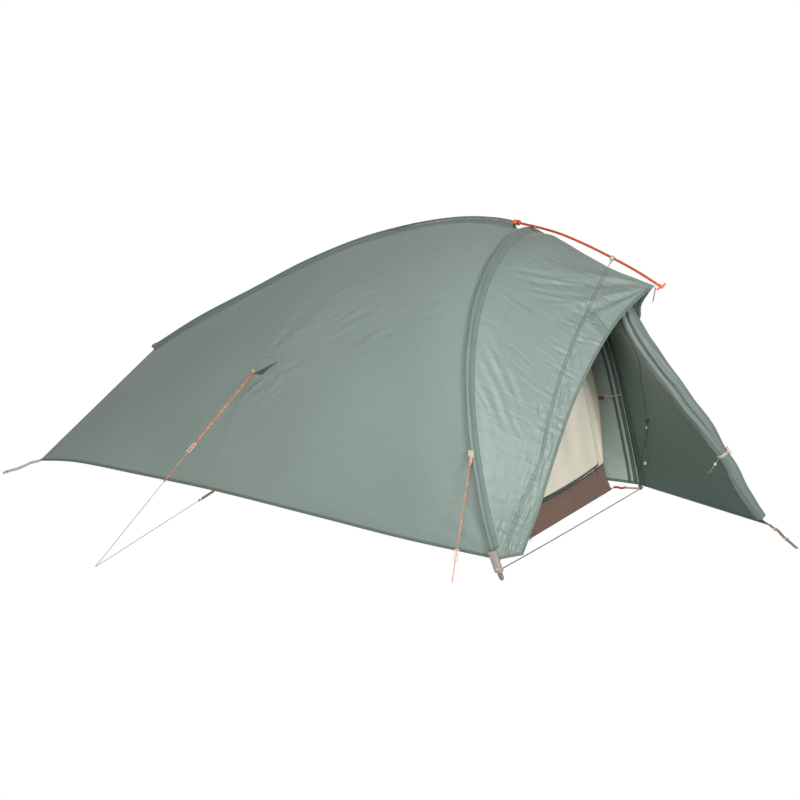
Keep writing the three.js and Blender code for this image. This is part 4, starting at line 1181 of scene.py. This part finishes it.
def hoop_sleeve():
    """The hoop's sleeve: a dome of cloth over the pole, sewn down to the fly on both sides."""
    rows = []
    v = np.linspace(0, .985, 140)
    flange, start = .0165, .0100
    for side, cloth, porch, hem_z in ((NEAR, near_cloth, wing_cloth, HEM_AT_NEAR_HOOP),
                                      (FAR, far_cloth, far_wing_cloth, HEM_AT_FAR_HOOP)):
        hem = hoop_at(side, hem_z)
        share = v * (hoop_at(side, SLEEVE_FOOT) - hoop_top) / (hem - hoop_top)
        t = hoop_top + (hem - hoop_top) * share
        middle, out = hoop.at(t), -hoop_inward(t)
        section = []
        for distance in (flange, start):
            u, w = cloth.moved(np.ones_like(v), share, -distance, 0)
            section.append(cloth.point(u, w, SEWN_LIFT))
        for angle in np.radians(np.linspace(205, -25, 15)):
            reach = HOOP_SLEEVE_RADIUS + .0006 * np.sin(40 * share + 2 * angle)[:, None]
            section.append(middle + (HOOP_NORMAL * math.cos(angle) + out * math.sin(angle)) * reach)
        for distance in (start, flange):
            u, w = porch.moved(np.zeros_like(v), share, distance, 0)
            section.append(porch.point(u, w, SEWN_LIFT))
        grid = np.stack(section, axis=1)
        rows.append(grid[::-1] if side == NEAR else grid[1:])
    piece = cloth_mesh("hoop_sleeve_band", np.concatenate(rows), SLEEVE_CLOTH_THICKNESS,
                       [SLEEVE_CLOTH, FLY_INSIDE])
    placed(piece, stands_for=["hoop_sleeve"])


def ridge_sleeve():
    """The ridge pole's sleeve, sewn to the fly along both sides of the ridge."""
    x = np.linspace(-1.082, SLEEVE_END_X, 150)
    reach = ridge.fraction(0, x)
    middle = ridge.at(reach)
    up = -unit(np.cross(ridge.tangent(reach), array(0, 1, 0)))
    u = Line([(px, 0, pz) for px, pz in FLY_RIDGE]).fraction(0, x)
    section = []
    for cloth, side in ((near_cloth, NEAR), (far_cloth, FAR)):
        half = []
        for distance in (.019, .012):
            a, b = cloth.moved(u, np.full_like(u, .01), 0, distance - .01)
            half.append(cloth.point(a, b, SEWN_LIFT))
        for angle in np.radians(np.linspace(-25, 90, 8)):
            out = up * math.sin(angle) + array(0, side * math.cos(angle), 0)
            half.append(middle + out * RIDGE_SLEEVE_RADIUS)
        section += half if side == NEAR else half[::-1][1:]
    piece = cloth_mesh("ridge_sleeve_band", np.stack(section), SLEEVE_CLOTH_THICKNESS,
                       [SLEEVE_CLOTH, FLY_INSIDE], (0, 0, 0))
    placed(piece, stands_for=["ridge_sleeve"])


def along_edge(cloth, edge, inset, span=(0, 1)):
    """The path that runs beside one edge of a cloth, a little inside it."""
    def path(t):
        t = span[0] + (span[1] - span[0]) * t
        zero, one = np.zeros_like(t), np.ones_like(t)
        start = {"bottom": (t, one), "top": (t, zero), "front": (one, t), "rear": (zero, t)}[edge]
        step = {"bottom": (0, -inset), "top": (0, inset), "front": (-inset, 0), "rear": (inset, 0)}[edge]
        return cloth.moved(*start, *step)

    return path


def hems():
    """Hems: a folded band on the outside of each free edge, and its other half on the inside."""
    for name, cloth, edge, width, span in (
            ("near_hem", near_cloth, "bottom", HEM_WIDTH, (0, 1)),
            ("far_hem", far_cloth, "bottom", HEM_WIDTH, (0, 1)),
            ("rear_hem", rear_cloth, "bottom", HEM_WIDTH, (0, 1)),
            ("wing_hem", wing_cloth, "bottom", .012, (0, 1)),
            ("wing_edge", wing_cloth, "front", .010, (.02, 1)),
            ("far_wing_hem", far_wing_cloth, "bottom", HEM_WIDTH, (0, 1)),
            ("far_wing_edge", far_wing_cloth, "front", .012, (.03, .98))):
        path = along_edge(cloth, edge, width / 2, span)
        surface_strip(name, cloth, path, width, .0002, BAND_THICKNESS, HEM, 220, 5, .0006)
        surface_strip(name + "_inside", cloth, path, width, -CLOTH - .0018, BAND_THICKNESS, HEM, 220)


def seams():
    """Felled seams, the wing's patch and the dark bindings inside the porch, which along the hoop are
    partly binding and partly painted shade of the sleeve.
    """
    for cloth, name in ((near_cloth, "near"), (far_cloth, "far")):
        surface_strip(f"crease_seam_{name}", cloth, along_edge(cloth, "rear", .009), .012, .0003,
                      .0007, FELLED_SEAM)
        surface_strip(f"ridge_seam_{name}", cloth, along_edge(cloth, "top", .034, (.02, .98)), .008,
                      .0002, .0006, FELLED_SEAM)

    def seam(t):
        v = .012 + .985 * t
        return wing_seam(v), v

    def reinforcement(t):
        return .785 + .205 * t, .215 + .045 * t

    def far_seam(t):
        return np.interp(t, [0, .5, 1], [.745, .34, .26]), np.interp(t, [0, .5, 1], [.323, .605, .738])

    surface_strip("wing_seam", wing_cloth, seam, .011, .0004, .0008, FELLED_SEAM, 260, 5, .0012)
    surface_strip("wing_reinforcement", wing_cloth, reinforcement, .034, .0006, .0006, PATCH_CLOTH,
                  60, 9)
    # These dark strips inside along the hoop stand for the seam binding and also for painted shade: the
    # shadow of the hoop's sleeve seen through the cloth.
    for count, (inset, width) in enumerate(((.012, .016), (.038, .012))):
        for cloth, edge, name in ((far_wing_cloth, "rear", "wing"), (far_cloth, "front", "side")):
            surface_strip(f"inner_binding_{name}_{count}", cloth, along_edge(cloth, edge, inset),
                          width, -CLOTH - .003, .0012, DARK_BINDING_AND_PAINTED_SHADE)
    surface_strip("far_wing_seam", far_wing_cloth, far_seam, .008, -CLOTH - .0020, .0010,
                  DARK_BINDING_AND_PAINTED_SHADE)


def door_roll():
    """The rolled half of the porch door: two turns of cloth with a groove between them."""
    def section(t):
        angle = np.linspace(0, 2 * math.pi, 64, endpoint=False)
        groove_at = -.45 + .3 * t
        away = np.angle(np.exp(1j * (angle - groove_at)))
        groove = .40 * np.exp(-(away / .26) ** 2) * (1 - smooth(t, .42, .66))
        lap = .07 * smooth(np.angle(np.exp(1j * (angle - groove_at - 1.3))), -.12, .05)
        folds = .04 * np.sin(5 * angle + 9 * t) + .03 * np.sin(9 * angle - 24 * t + 1)
        gathered = .05 * np.sin(7 * angle + 4) * bump(t, .70, .10)
        reach = roll_radius(t) * (.97 - groove - lap + folds + gathered)
        return np.stack([np.cos(angle) * reach, np.sin(angle) * reach], axis=1)

    piece = swept("door_roll", roll_line, section, np.linspace(0, 1, 240), UPRIGHT, ROLL_CLOTH)
    placed(piece, stands_for=["rolled_porch_door"])
    middle, forward = roll_line.at(TIE_ON_ROLL), roll_line.tangent(TIE_ON_ROLL)
    side = unit(np.cross(forward, array(0, 0, 1)))
    high = np.cross(side, forward)
    radius = roll_radius(TIE_ON_ROLL)
    turn = [middle + (side * math.cos(a) + high * math.sin(a)) * (radius * 1.07)
            for a in np.linspace(0, 2 * math.pi, 24, endpoint=False)]
    grid = np.array([[p + forward * w for p in [*turn, turn[0]]] for w in (-.006, 0, .006)])
    placed(cloth_mesh("roll_tie", grid, .0012, [GREY_WEBBING], middle))
    seat = middle + side * .010 + high * (radius * 1.15)
    toggle = Line([seat - forward * .014, seat, seat + forward * .014])
    round_tube("roll_toggle", toggle, .0048, PALE_PLASTIC, 12, 12)


panels()
hoop_sleeve()
ridge_sleeve()
hems()
seams()
door_roll()

# ------------------------------------------------------------------ poles


def pole_sections(name, line, material, first=0.0):
    """Five tubes end to end, with a ferrule over each joint."""
    ends = first + (1 - first) * np.arange(6) / 5
    for i, (start, end) in enumerate(zip(ends[:-1], ends[1:]), 1):
        round_tube(f"{name}_pole_{i}", line, POLE_RADIUS, material, 20, 70, (start, end),
                   stands_for=[f"{name}_pole_section_{i}"])
        if i < 5:
            reach = .012 / line.length
            round_tube(f"{name}_ferrule_{i}", line, POLE_RADIUS + .0004, material, 20, 6,
                       (end - reach, end + reach))


def hoop_foot(side, name):
    """The webbing pocket round one foot of the hoop, its fold and the pole's tip."""
    def pocket(t):
        angle = np.linspace(0, 2 * math.pi, 32, endpoint=False)
        c, s = np.cos(angle), np.sin(angle)
        return np.stack([np.abs(c) ** .55 * np.sign(c) * .0150, np.abs(s) ** .8 * np.sign(s) * .0094],
                        axis=1)

    def tip_radius(t):
        return .0082 * (1 - .40 * np.exp(-abs(t - end) * hoop.length / .004))

    reach = np.linspace(hoop_at(side, .032), hoop_at(side, .106), 30)
    piece = swept(f"foot_pocket_{name}", hoop, pocket, reach, array(0, 1, 0), POCKET_WEBBING)
    placed(piece, stands_for=[f"hoop_pocket_{name}"])
    fold = hoop_at(side, .046)
    round_tube(f"foot_fold_{name}", hoop, .0120, GREY_WEBBING, 24, 5,
               (fold - .0008, fold + .0008))
    end = 0.0 if side == NEAR else 1.0
    round_tube(f"foot_tip_{name}", hoop, tip_radius, OLIVE_PLASTIC, 20, 24,
               tuple(sorted((end, hoop_at(side, .040)))))


def poles():
    pole_sections("ridge", ridge, ORANGE_TUBE, .004)
    pole_sections("hoop", hoop, GREY_TUBE)
    mouth, length = ridge.where(0, SLEEVE_END_X), .024 / ridge.length
    round_tube("sleeve_mouth", ridge, .0095, ORANGE_PLASTIC, 24, 12,
               (mouth, mouth + length), stands_for=["ridge_sleeve_mouth"])
    round_tube("sleeve_mouth_ring", ridge, .0103, BLACK_RUBBER, 24, 6,
               (mouth + length * .72, mouth + length * .98))
    for side, name in SIDES:
        hoop_foot(side, name)


poles()

# ------------------------------------------------------------------ inner tent

INNER_CLOTH = .0006
WALL_X, WALL_LEAN = 1.080, .12
ARCH = [(.574, .134), (.580, .270), (.573, .420), (.508, .590), (.405, .750), (.275, .895),
        (.140, 1.0), (0, 1.055)]
TUB_FRONT, TUB_REAR = (1.071, .575, .575), (-1.080, .400, .400)
FLOOR_FRONT, FLOOR_REAR = (1.086, .480, .655), (-1.085, .245, .440)
TUB_HEIGHT, TUB_REAR_HEIGHT, TUB_DIP = .130, .110, .026
DOOR_MIDDLE = array(0, .45)
ZIP_OFFSET, ZIP_COIL_RADIUS, PIPING_RADIUS, BINDING_RADIUS = .0055, .0019, .0028, .0022
BEHIND_DOOR = (0, 0, .45)


def wall_point(y, z, lift=0.0):
    """A point of the leaning door wall, lifted out of it along X."""
    return np.stack([WALL_X - WALL_LEAN * z + lift, y, z + lift * WALL_LEAN], axis=-1)


def tub_top(y):
    return TUB_HEIGHT - TUB_DIP * (1 - (y / TUB_FRONT[2]) ** 2)


def zip_height(y):
    return tub_top(y) + .014


HINGE_LOW, HINGE_HIGH = (.520, zip_height(.520)), (.385, .740)
DOOR_TOP = [HINGE_HIGH, (.262, .858), (.125, .940), (0, .965), (-.130, .938), (-.265, .855),
            (-.385, .735), (-.462, .590), (-.508, .430), (-.520, .270), (-.520, zip_height(-.520))]

arch = Line([wall_point(-y, z) for y, z in ARCH])


def inner_front(v):
    return arch.at(1 - np.asarray(v, float)) - array(.004, 0, 0)


inner_ridge = Line([(-1.0, 0, .5), (-.454, 0, .775), (.060, 0, .975), (.560, 0, 1.072),
                    inner_front(array(0))[0]])


def inner_rear(v):
    return between(inner_ridge.at(array(0))[0], array(-1.080, -.400, .113), v)


def inner_hem(u):
    """The inner wall's lower edge, along the top of the tub."""
    return between(inner_rear(array(1))[0], inner_front(array(1))[0], u)


inner_patch = patch(inner_rear, inner_front, inner_ridge.at, inner_hem, 1.25)


def cabin_half(side):
    """One side wall of the inner tent, kept on its own side of the ridge."""
    def surface(u, v):
        p = inner_patch(u, v)
        p[..., 1] = np.minimum(p[..., 1], -.0004)
        return p if side == NEAR else mirrored(p)

    return surface


def rear_wall(u, v):
    edge = inner_rear(v) - array(.004, 0, 0)
    return edge * (1 - u[..., None]) + mirrored(edge) * u[..., None]


def outline_reach(points):
    """How far a closed outline of (y, z) points stands from the door's middle, by angle."""
    corners = np.array([*points, points[0]], float)
    dense = np.concatenate([np.linspace(a, b, 30)[:-1] for a, b in zip(corners[:-1], corners[1:])])
    away = dense - DOOR_MIDDLE
    angle, reach = np.arctan2(away[:, 1], away[:, 0]), np.linalg.norm(away, axis=1)
    order = np.argsort(angle)
    return lambda a: np.interp(a, angle[order], reach[order], period=2 * math.pi)


door_curve = Line([(y, z, 0) for y, z in DOOR_TOP]).points[:, :2]
door_bottom = [(y, zip_height(y)) for y in np.linspace(-.500, .500, 24)]
door_reach = outline_reach([*door_curve, *door_bottom, HINGE_LOW])
arch_points = arch.points[:, 1:]
wall_bottom = [(y, tub_top(y) + .002) for y in np.linspace(.560, -.560, 30)]
wall_reach = outline_reach([*arch_points, *(arch_points[::-1] * array(-1, 1)), *wall_bottom])
HINGE_FROM, HINGE_TO = (math.atan2(z - DOOR_MIDDLE[1], y) for y, z in (HINGE_LOW, HINGE_HIGH))


def on_hinge(angle):
    """1 beside the door's sewn edge, 0 beside its zip."""
    wrapped = np.angle(np.exp(1j * angle))
    return (smooth(wrapped, HINGE_FROM - .01, HINGE_FROM + .02)
            * (1 - smooth(wrapped, HINGE_TO - .02, HINGE_TO + .01)))


def polar(angle, reach):
    """y and z at an angle and a distance from the door's middle."""
    return reach * np.cos(angle), DOOR_MIDDLE[1] + reach * np.sin(angle)


def cabin_walls():
    folds = [slack(5.0, .0025, 31),
             streaks(32, 16, (.1, -.3, .5), (.3, .2, 1), (.8, .2, .3), (.12, .02), .004)]
    for side, name in SIDES:
        grid = over(Cloth(cabin_half(side), CABIN, folds), 90, 50)
        piece = cloth_mesh(f"inner_{name}", grid, INNER_CLOTH, [CREAM], CABIN)
        placed(piece, stands_for=[f"inner_{name}_wall"])
    grid = over(Cloth(rear_wall, CABIN, [slack(9.0, .003, 33)]), 40, 30)
    piece = cloth_mesh("inner_rear", grid, INNER_CLOTH, [CREAM], CABIN)
    placed(piece, stands_for=["inner_rear_wall"])


def door_wall():
    """The strip of cloth round the door, from the zip out to the arch and the tub."""
    angle = np.linspace(-math.pi / 2, 1.5 * math.pi, 300)
    start = door_reach(angle) + .0085 * (1 - on_hinge(angle))
    end = wall_reach(angle)
    rows = []
    for lane in np.linspace(0, 1, 14):
        y, z = polar(angle, start + (end - start) * lane)
        swell = np.sin(9 * angle + 5 * lane) + np.sin(23 * angle + 2) * .4
        lift = .0032 * swell * math.sin(math.pi * lane) * smooth(end - start, .02, .12)
        rows.append(wall_point(y, z, lift))
    piece = cloth_mesh("inner_front", np.array(rows), INNER_CLOTH, [CREAM], BEHIND_DOOR)
    placed(piece, stands_for=["inner_door_wall"])


def door():
    """The door flap, sewn to the wall along its far edge."""
    s, t = np.meshgrid(np.linspace(-1, 1, 90), np.linspace(-1, 1, 90))
    share, angle = np.maximum(abs(s), abs(t)), np.arctan2(t, s)
    y, z = polar(angle, share * (door_reach(angle) + .0008))
    calm = 1 - share ** 4
    wrinkle = np.sin(6 * y + 9 * z) + .6 * np.sin(31 * y + 5 * z + 2 * np.sin(5 * z))
    tension = .5 * np.exp(-((z - .16 - .05 * np.sin(7 * y)) / .03) ** 2) * np.sin(26 * y)
    piece = cloth_mesh("door", wall_point(y, z, .0042 * calm * (wrinkle + tension)), INNER_CLOTH,
                       [CREAM], BEHIND_DOOR)
    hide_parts("inner_door")
    middle = array(WALL_X - WALL_LEAN * .44, (HINGE_LOW[0] + HINGE_HIGH[0]) / 2, .44)
    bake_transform(piece)
    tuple(middle)


def door_zip():
    angle = np.linspace(HINGE_TO + .01, 2 * math.pi + HINGE_FROM - .01, 520)

    def zip_line(offset, lift):
        return wall_point(*polar(angle, door_reach(angle) + offset), lift)

    lanes = [zip_line(ZIP_OFFSET + w, .0012 + .0004 * (abs(w) < .003))
             for w in (-.0072, -.003, -.0014, .0014, .003, .0072)]
    tape = cloth_mesh("zip_tape", np.array(lanes), .0011, [GREEN_TAPE], BEHIND_DOOR)
    placed(tape, stands_for=["inner_door_zip"])
    round_tube("zip_coil", Line(zip_line(ZIP_OFFSET, .0022)[::13]), ZIP_COIL_RADIUS, ZIP_COIL,
               8, 700)


def arch_piping():
    points = arch.at(np.linspace(0, 1, 20))
    for name, route in (("near", points), ("far", mirrored(points))):
        round_tube(f"arch_piping_{name}", Line(route), PIPING_RADIUS, TRIM, 10, 120)


def rounded_ring(front, rear, count=260, corner=.022):
    """Points round a four-sided plan with rounded corners, starting at the rear near corner."""
    fx, fn, ff = front
    rx, rn, rf = rear
    corners = [array(rx, -rn), array(fx, -fn), array(fx, ff), array(rx, rf)]
    route = []
    for i, here in enumerate(corners):
        before, after = corners[i - 1], corners[(i + 1) % 4]
        a, b = here + unit(before - here) * corner, here + unit(after - here) * corner
        t = np.linspace(0, 1, 9)[:, None]
        route.append(a * (1 - t) ** 2 + here * 2 * t * (1 - t) + b * t ** 2)
    route = np.concatenate([*route, route[0][:1]])
    reach = np.concatenate([[0], np.cumsum(np.linalg.norm(np.diff(route, axis=0), axis=1))])
    at = np.linspace(0, reach[-1], count)
    return np.stack([np.interp(at, reach, axis) for axis in route.T], axis=1)


def tub():
    """The tub's wall, up from the floor's outline to the bound edge of the tub."""
    low, high = rounded_ring(FLOOR_FRONT, FLOOR_REAR), rounded_ring(TUB_FRONT, TUB_REAR)
    front_share = smooth(high[:, 0], 1.03, 1.065)
    side_top = np.interp(high[:, 0], [TUB_REAR[0], TUB_FRONT[0]], [TUB_REAR_HEIGHT, TUB_HEIGHT])
    top = side_top * (1 - front_share) + tub_top(high[:, 1]) * front_share
    outward = unit(low - low.mean(axis=0))
    way = np.linspace(0, 1, len(low))
    rows = []
    for lane in np.linspace(0, 1, 18):
        middle = math.sin(math.pi * lane)
        crumples = np.sin(150 * way + 3 * lane) * np.sin(67 * way + 2) + .7 * np.sin(310 * way - 5 * lane)
        belly = .006 * middle + .0034 * crumples * middle ** .7
        plan = low * (1 - lane) + high * lane + outward * belly[:, None]
        rows.append(np.column_stack([plan, .0006 + lane * top]))
    wall = cloth_mesh("tub_wall", np.array(rows), INNER_CLOTH, [TUB, TUB_INSIDE], (0, 0, .05))
    placed(wall, stands_for=["groundsheet_tub"])
    round_tube("tub_binding", Line(np.column_stack([high, top])[::3]), BINDING_RADIUS,
               TUB_BINDING, 8, 420)


def tub_floor():
    s, t = np.meshgrid(np.linspace(0, 1, 150), np.linspace(0, 1, 70))
    x = FLOOR_REAR[0] + (FLOOR_FRONT[0] - FLOOR_REAR[0]) * s
    near_y = -FLOOR_REAR[1] + (FLOOR_REAR[1] - FLOOR_FRONT[1]) * s
    far_y = FLOOR_REAR[2] + (FLOOR_FRONT[2] - FLOOR_REAR[2]) * s
    y = near_y + (far_y - near_y) * t
    ripple = np.sin(11 * x + 4 * y) * np.sin(9 * y - 3 * x) + .5 * np.sin(37 * x + 19 * y)
    grid = np.stack([x, y, .0030 + .0014 * ripple], axis=-1)
    piece = cloth_mesh("tub_floor", grid, INNER_CLOTH, [TUB_INSIDE, TUB], (0, 0, -1))
    placed(piece)


def hoop_clip(side, name):
    """A hook over the hoop pole, on a webbing loop sewn to the inner tent."""
    start = array(WALL_X - WALL_LEAN * .420 + .001, side * .574, .420)
    on_pole = hoop.at(hoop_at(side, .426))
    end = on_pole + array(-.010, -side * .024, 0)
    ribbon(f"clip_loop_{name}", between(start, end, (-.12, .1, .3, .42)), .013, TAPE_THICKNESS,
           UPRIGHT, CLIP_WEBBING, 12)
    hook = [*between(start, end, (.32, .55, .85)), on_pole + array(-.004, -side * .0115, .002),
            on_pole + array(-.007, -side * .002, .006), on_pole + array(-.0135, -side * .006, .004)]
    round_tube(f"clip_hook_{name}", Line(hook), .0028, BONE_PLASTIC, 12, 50,
               stands_for=[f"inner_clip_{name}"])
    open_frame(f"clip_eye_{name}", between(start, end, .36), end - start, UPRIGHT, (.012, .018),
               .0018, BONE_PLASTIC, TENT)


def floor_strap(side, name):
    """Red webbing from a corner of the floor, and its pale tail to the hoop's foot."""
    floor_y, foot, turn = ((FLOOR_FRONT[1], array(1.183, -.684, .022), .82) if side == NEAR
                           else (FLOOR_FRONT[2], array(1.184, .683, .009), .62))
    corner = array(FLOOR_FRONT[0] + .0012, side * (floor_y + .0012), .007)
    wave = [between(corner, foot, t) + array(.0015 * math.sin(9 * t), 0, .002 * math.sin(14 * t))
            for t in np.linspace(-.02, turn, 8)]
    ribbon(f"floor_webbing_{name}", wave, .010, WEBBING_THICKNESS, UPRIGHT, RED_WEBBING,
           40, stands_for=[f"floor_strap_{name}"])
    tail = between(corner, foot, np.linspace(turn - .12, 1.06, 6)) + array(.0016, 0, .001)
    ribbon(f"floor_tail_{name}", tail, .009, TAPE_THICKNESS, UPRIGHT, PINK_WEBBING)


cabin_walls()
door_wall()
door()
door_zip()
arch_piping()
tub()
tub_floor()
for half, half_name in SIDES:
    hoop_clip(half, half_name)
    floor_strap(half, half_name)

# ------------------------------------------------------------------ fittings

SHOCK_CORD_RADIUS, CLIP_X = .0015, 1.285


def pole_ends():
    """The ridge pole's front fitting, its rear cup and the elastic inside both poles."""
    end, ahead = ridge.at(1.0), ridge.tangent(1.0)
    profile = [(.0001, .0005), (.0042, .0005), (.0050, .0012), (.0060, .0170), (.0054, .0182),
               (.0001, .0185)]
    turned("tip_cap", end, ahead, profile, ORANGE_PLASTIC, 28,
           stands_for=["ridge_tip_fitting"])
    bar_way, middle = unit(array(.796, 0, .611)), end + ahead * .012
    bar = Line([middle - bar_way * .020, middle, middle + bar_way * .020])
    round_tube("tip_bar", bar, lambda t: .0031 - .0012 * (abs(t - .5) > .495), ORANGE_PLASTIC,
               16, 80)
    ribbon("tip_tab", [end + ahead * .018, end + ahead * .024 + array(0, 0, .006),
                       end + ahead * .020 + array(0, 0, .012)], .009, TAPE_THICKNESS,
           SIDEWAYS, GREY_WEBBING, 12)
    profile = [(.0050, -.012), (.0090, -.012), (.0094, .006), (.0090, .014), (.0068, .018),
               (.0001, .018), (.0001, .0005), (.0050, .0005)]
    turned("rear_cup", ridge.at(0.0), -ridge.tangent(0.0), profile, SLEEVE_CLOTH, 32,
           stands_for=["ridge_rear_cup"])
    for line, name in ((ridge, "ridge"), (hoop, "hoop")):
        round_tube(f"{name}_elastic", line, SHOCK_CORD_RADIUS, ELASTIC, 8, 120, (.006, .992),
                   stands_for=[f"{name}_shock_cord"])


def ridge_clip():
    """The clear clip that turns on the bare ridge pole, and its webbing down to the wing."""
    at_clip = ridge.where(0, CLIP_X)
    seat, axis = ridge.at(at_clip), ridge.tangent(at_clip)
    up = -unit(np.cross(axis, array(0, 1, 0)))
    up = up * np.sign(up[2])
    turned("ridge_clip_ring", seat, axis, hollow_ring(.0052, .0084, .014), CLEAR_PLASTIC,
           body="pole_clip", stands_for=["ridge_clip"])
    brick("ridge_clip_lug", seat - up * .0125, ((0, 1, 0), up, axis), (.003, .011, .012),
          CLEAR_PLASTIC, "pole_clip")
    hold = seat - up * .019
    foot = hold + array(-.006, 0, -.014)
    ribbon("clip_webbing", [hold + up * .003, between(hold, foot, .5), foot], .010, WEBBING_THICKNESS,
           SIDEWAYS, GREY_WEBBING, 12, stands_for=["ridge_clip_webbing"])


def overhang_tip():
    """The strap that hangs from the overhang, and the binding under it."""
    pivot = array(1.452, 0, .941)
    hanging = [pivot + array(-.008 * t, 0, -.052 * t) for t in (0, .3, .6, 1)]
    ribbon("tip_webbing", hanging, .009, WEBBING_THICKNESS, SIDEWAYS, DARK_WEBBING,
           24, "hanging_strap", ["tip_strap"])
    flap = [(1.447, .004, .945), (1.420, .003, .925), (1.385, .003, .893), (1.352, .003, .866)]
    ribbon("tip_binding", flap, .020, TAPE_THICKNESS, (0, 1, .2), DARK_BINDING_AND_PAINTED_SHADE)


def zip_sliders():
    lean = unit(array(1, 0, WALL_LEAN))
    slider("inner_zip", (1.07059, .470, .12773), lean, (-WALL_LEAN, 0, 1), (0, 1, 0),
           "inner_slider", "inner_pull", ["inner_zip_slider", "inner_zip_pull"])
    up = unit(array(.146255, .360375, .921271))
    out = unit(array(0, 1, 0) - up * up[1])
    slider("porch_zip", (1.25891, -.60689, .15453), out, np.cross(out, up), up, "porch_slider",
           "porch_pull", ["porch_zip_slider", "porch_zip_pull"])


pole_ends()
ridge_clip()
overhang_tip()
zip_sliders()

# ------------------------------------------------------------------ stage and closing

SKY, KEY_POWER, FILL_POWER = 0.34, 290, 215
WHITE, FLOOR_GREY, FLOOR_REACH = (1, 1, 1, 1), (.4, .4, .4, 1), 60


def seen_white(tree, plain, kind, output):
    """Pure white to the camera, and something plainer to every other ray."""
    path = tree.nodes.new("ShaderNodeLightPath")
    white = tree.nodes.new(kind)
    white.inputs["Color"].default_value = WHITE
    choice = tree.nodes.new("ShaderNodeMixShader")
    tree.links.new(path.outputs["Is Camera Ray"], choice.inputs[0])
    tree.links.new(plain, choice.inputs[1])
    tree.links.new(white.outputs[0], choice.inputs[2])
    tree.links.new(choice.outputs[0], tree.nodes[output].inputs["Surface"])


def studio():
    """A grey floor and sky that the camera sees as white, a key light and a fill light."""
    paper = bpy.data.materials.new("studio_floor")
    paper.use_nodes = True
    main = paper.node_tree.nodes["Principled BSDF"]
    main.inputs["Base Color"].default_value = FLOOR_GREY
    main.inputs["Roughness"].default_value = .95
    seen_white(paper.node_tree, main.outputs[0], "ShaderNodeEmission", "Material Output")
    corners = [(x * FLOOR_REACH, y * FLOOR_REACH, -.0005) for x, y in
               ((-1, -1), (1, -1), (1, 1), (-1, 1))]
    mesh_piece("floor", corners, [(0, 1, 2, 3)], [paper])

    world = bpy.data.worlds.new("studio")
    world.use_nodes = True
    sky = world.node_tree.nodes["Background"]
    sky.inputs["Color"].default_value = WHITE
    sky.inputs["Strength"].default_value = SKY
    seen_white(world.node_tree, sky.outputs[0], "ShaderNodeBackground", "World Output")
    scene.world = world
    area_light("key", (5.4, -4.1, 2.3), (.7, 0, .5), 1.3, KEY_POWER)
    area_light("fill", (2.7, -5.3, 1.9), (.2, 0, .5), 1.5, FILL_POWER)


studio()
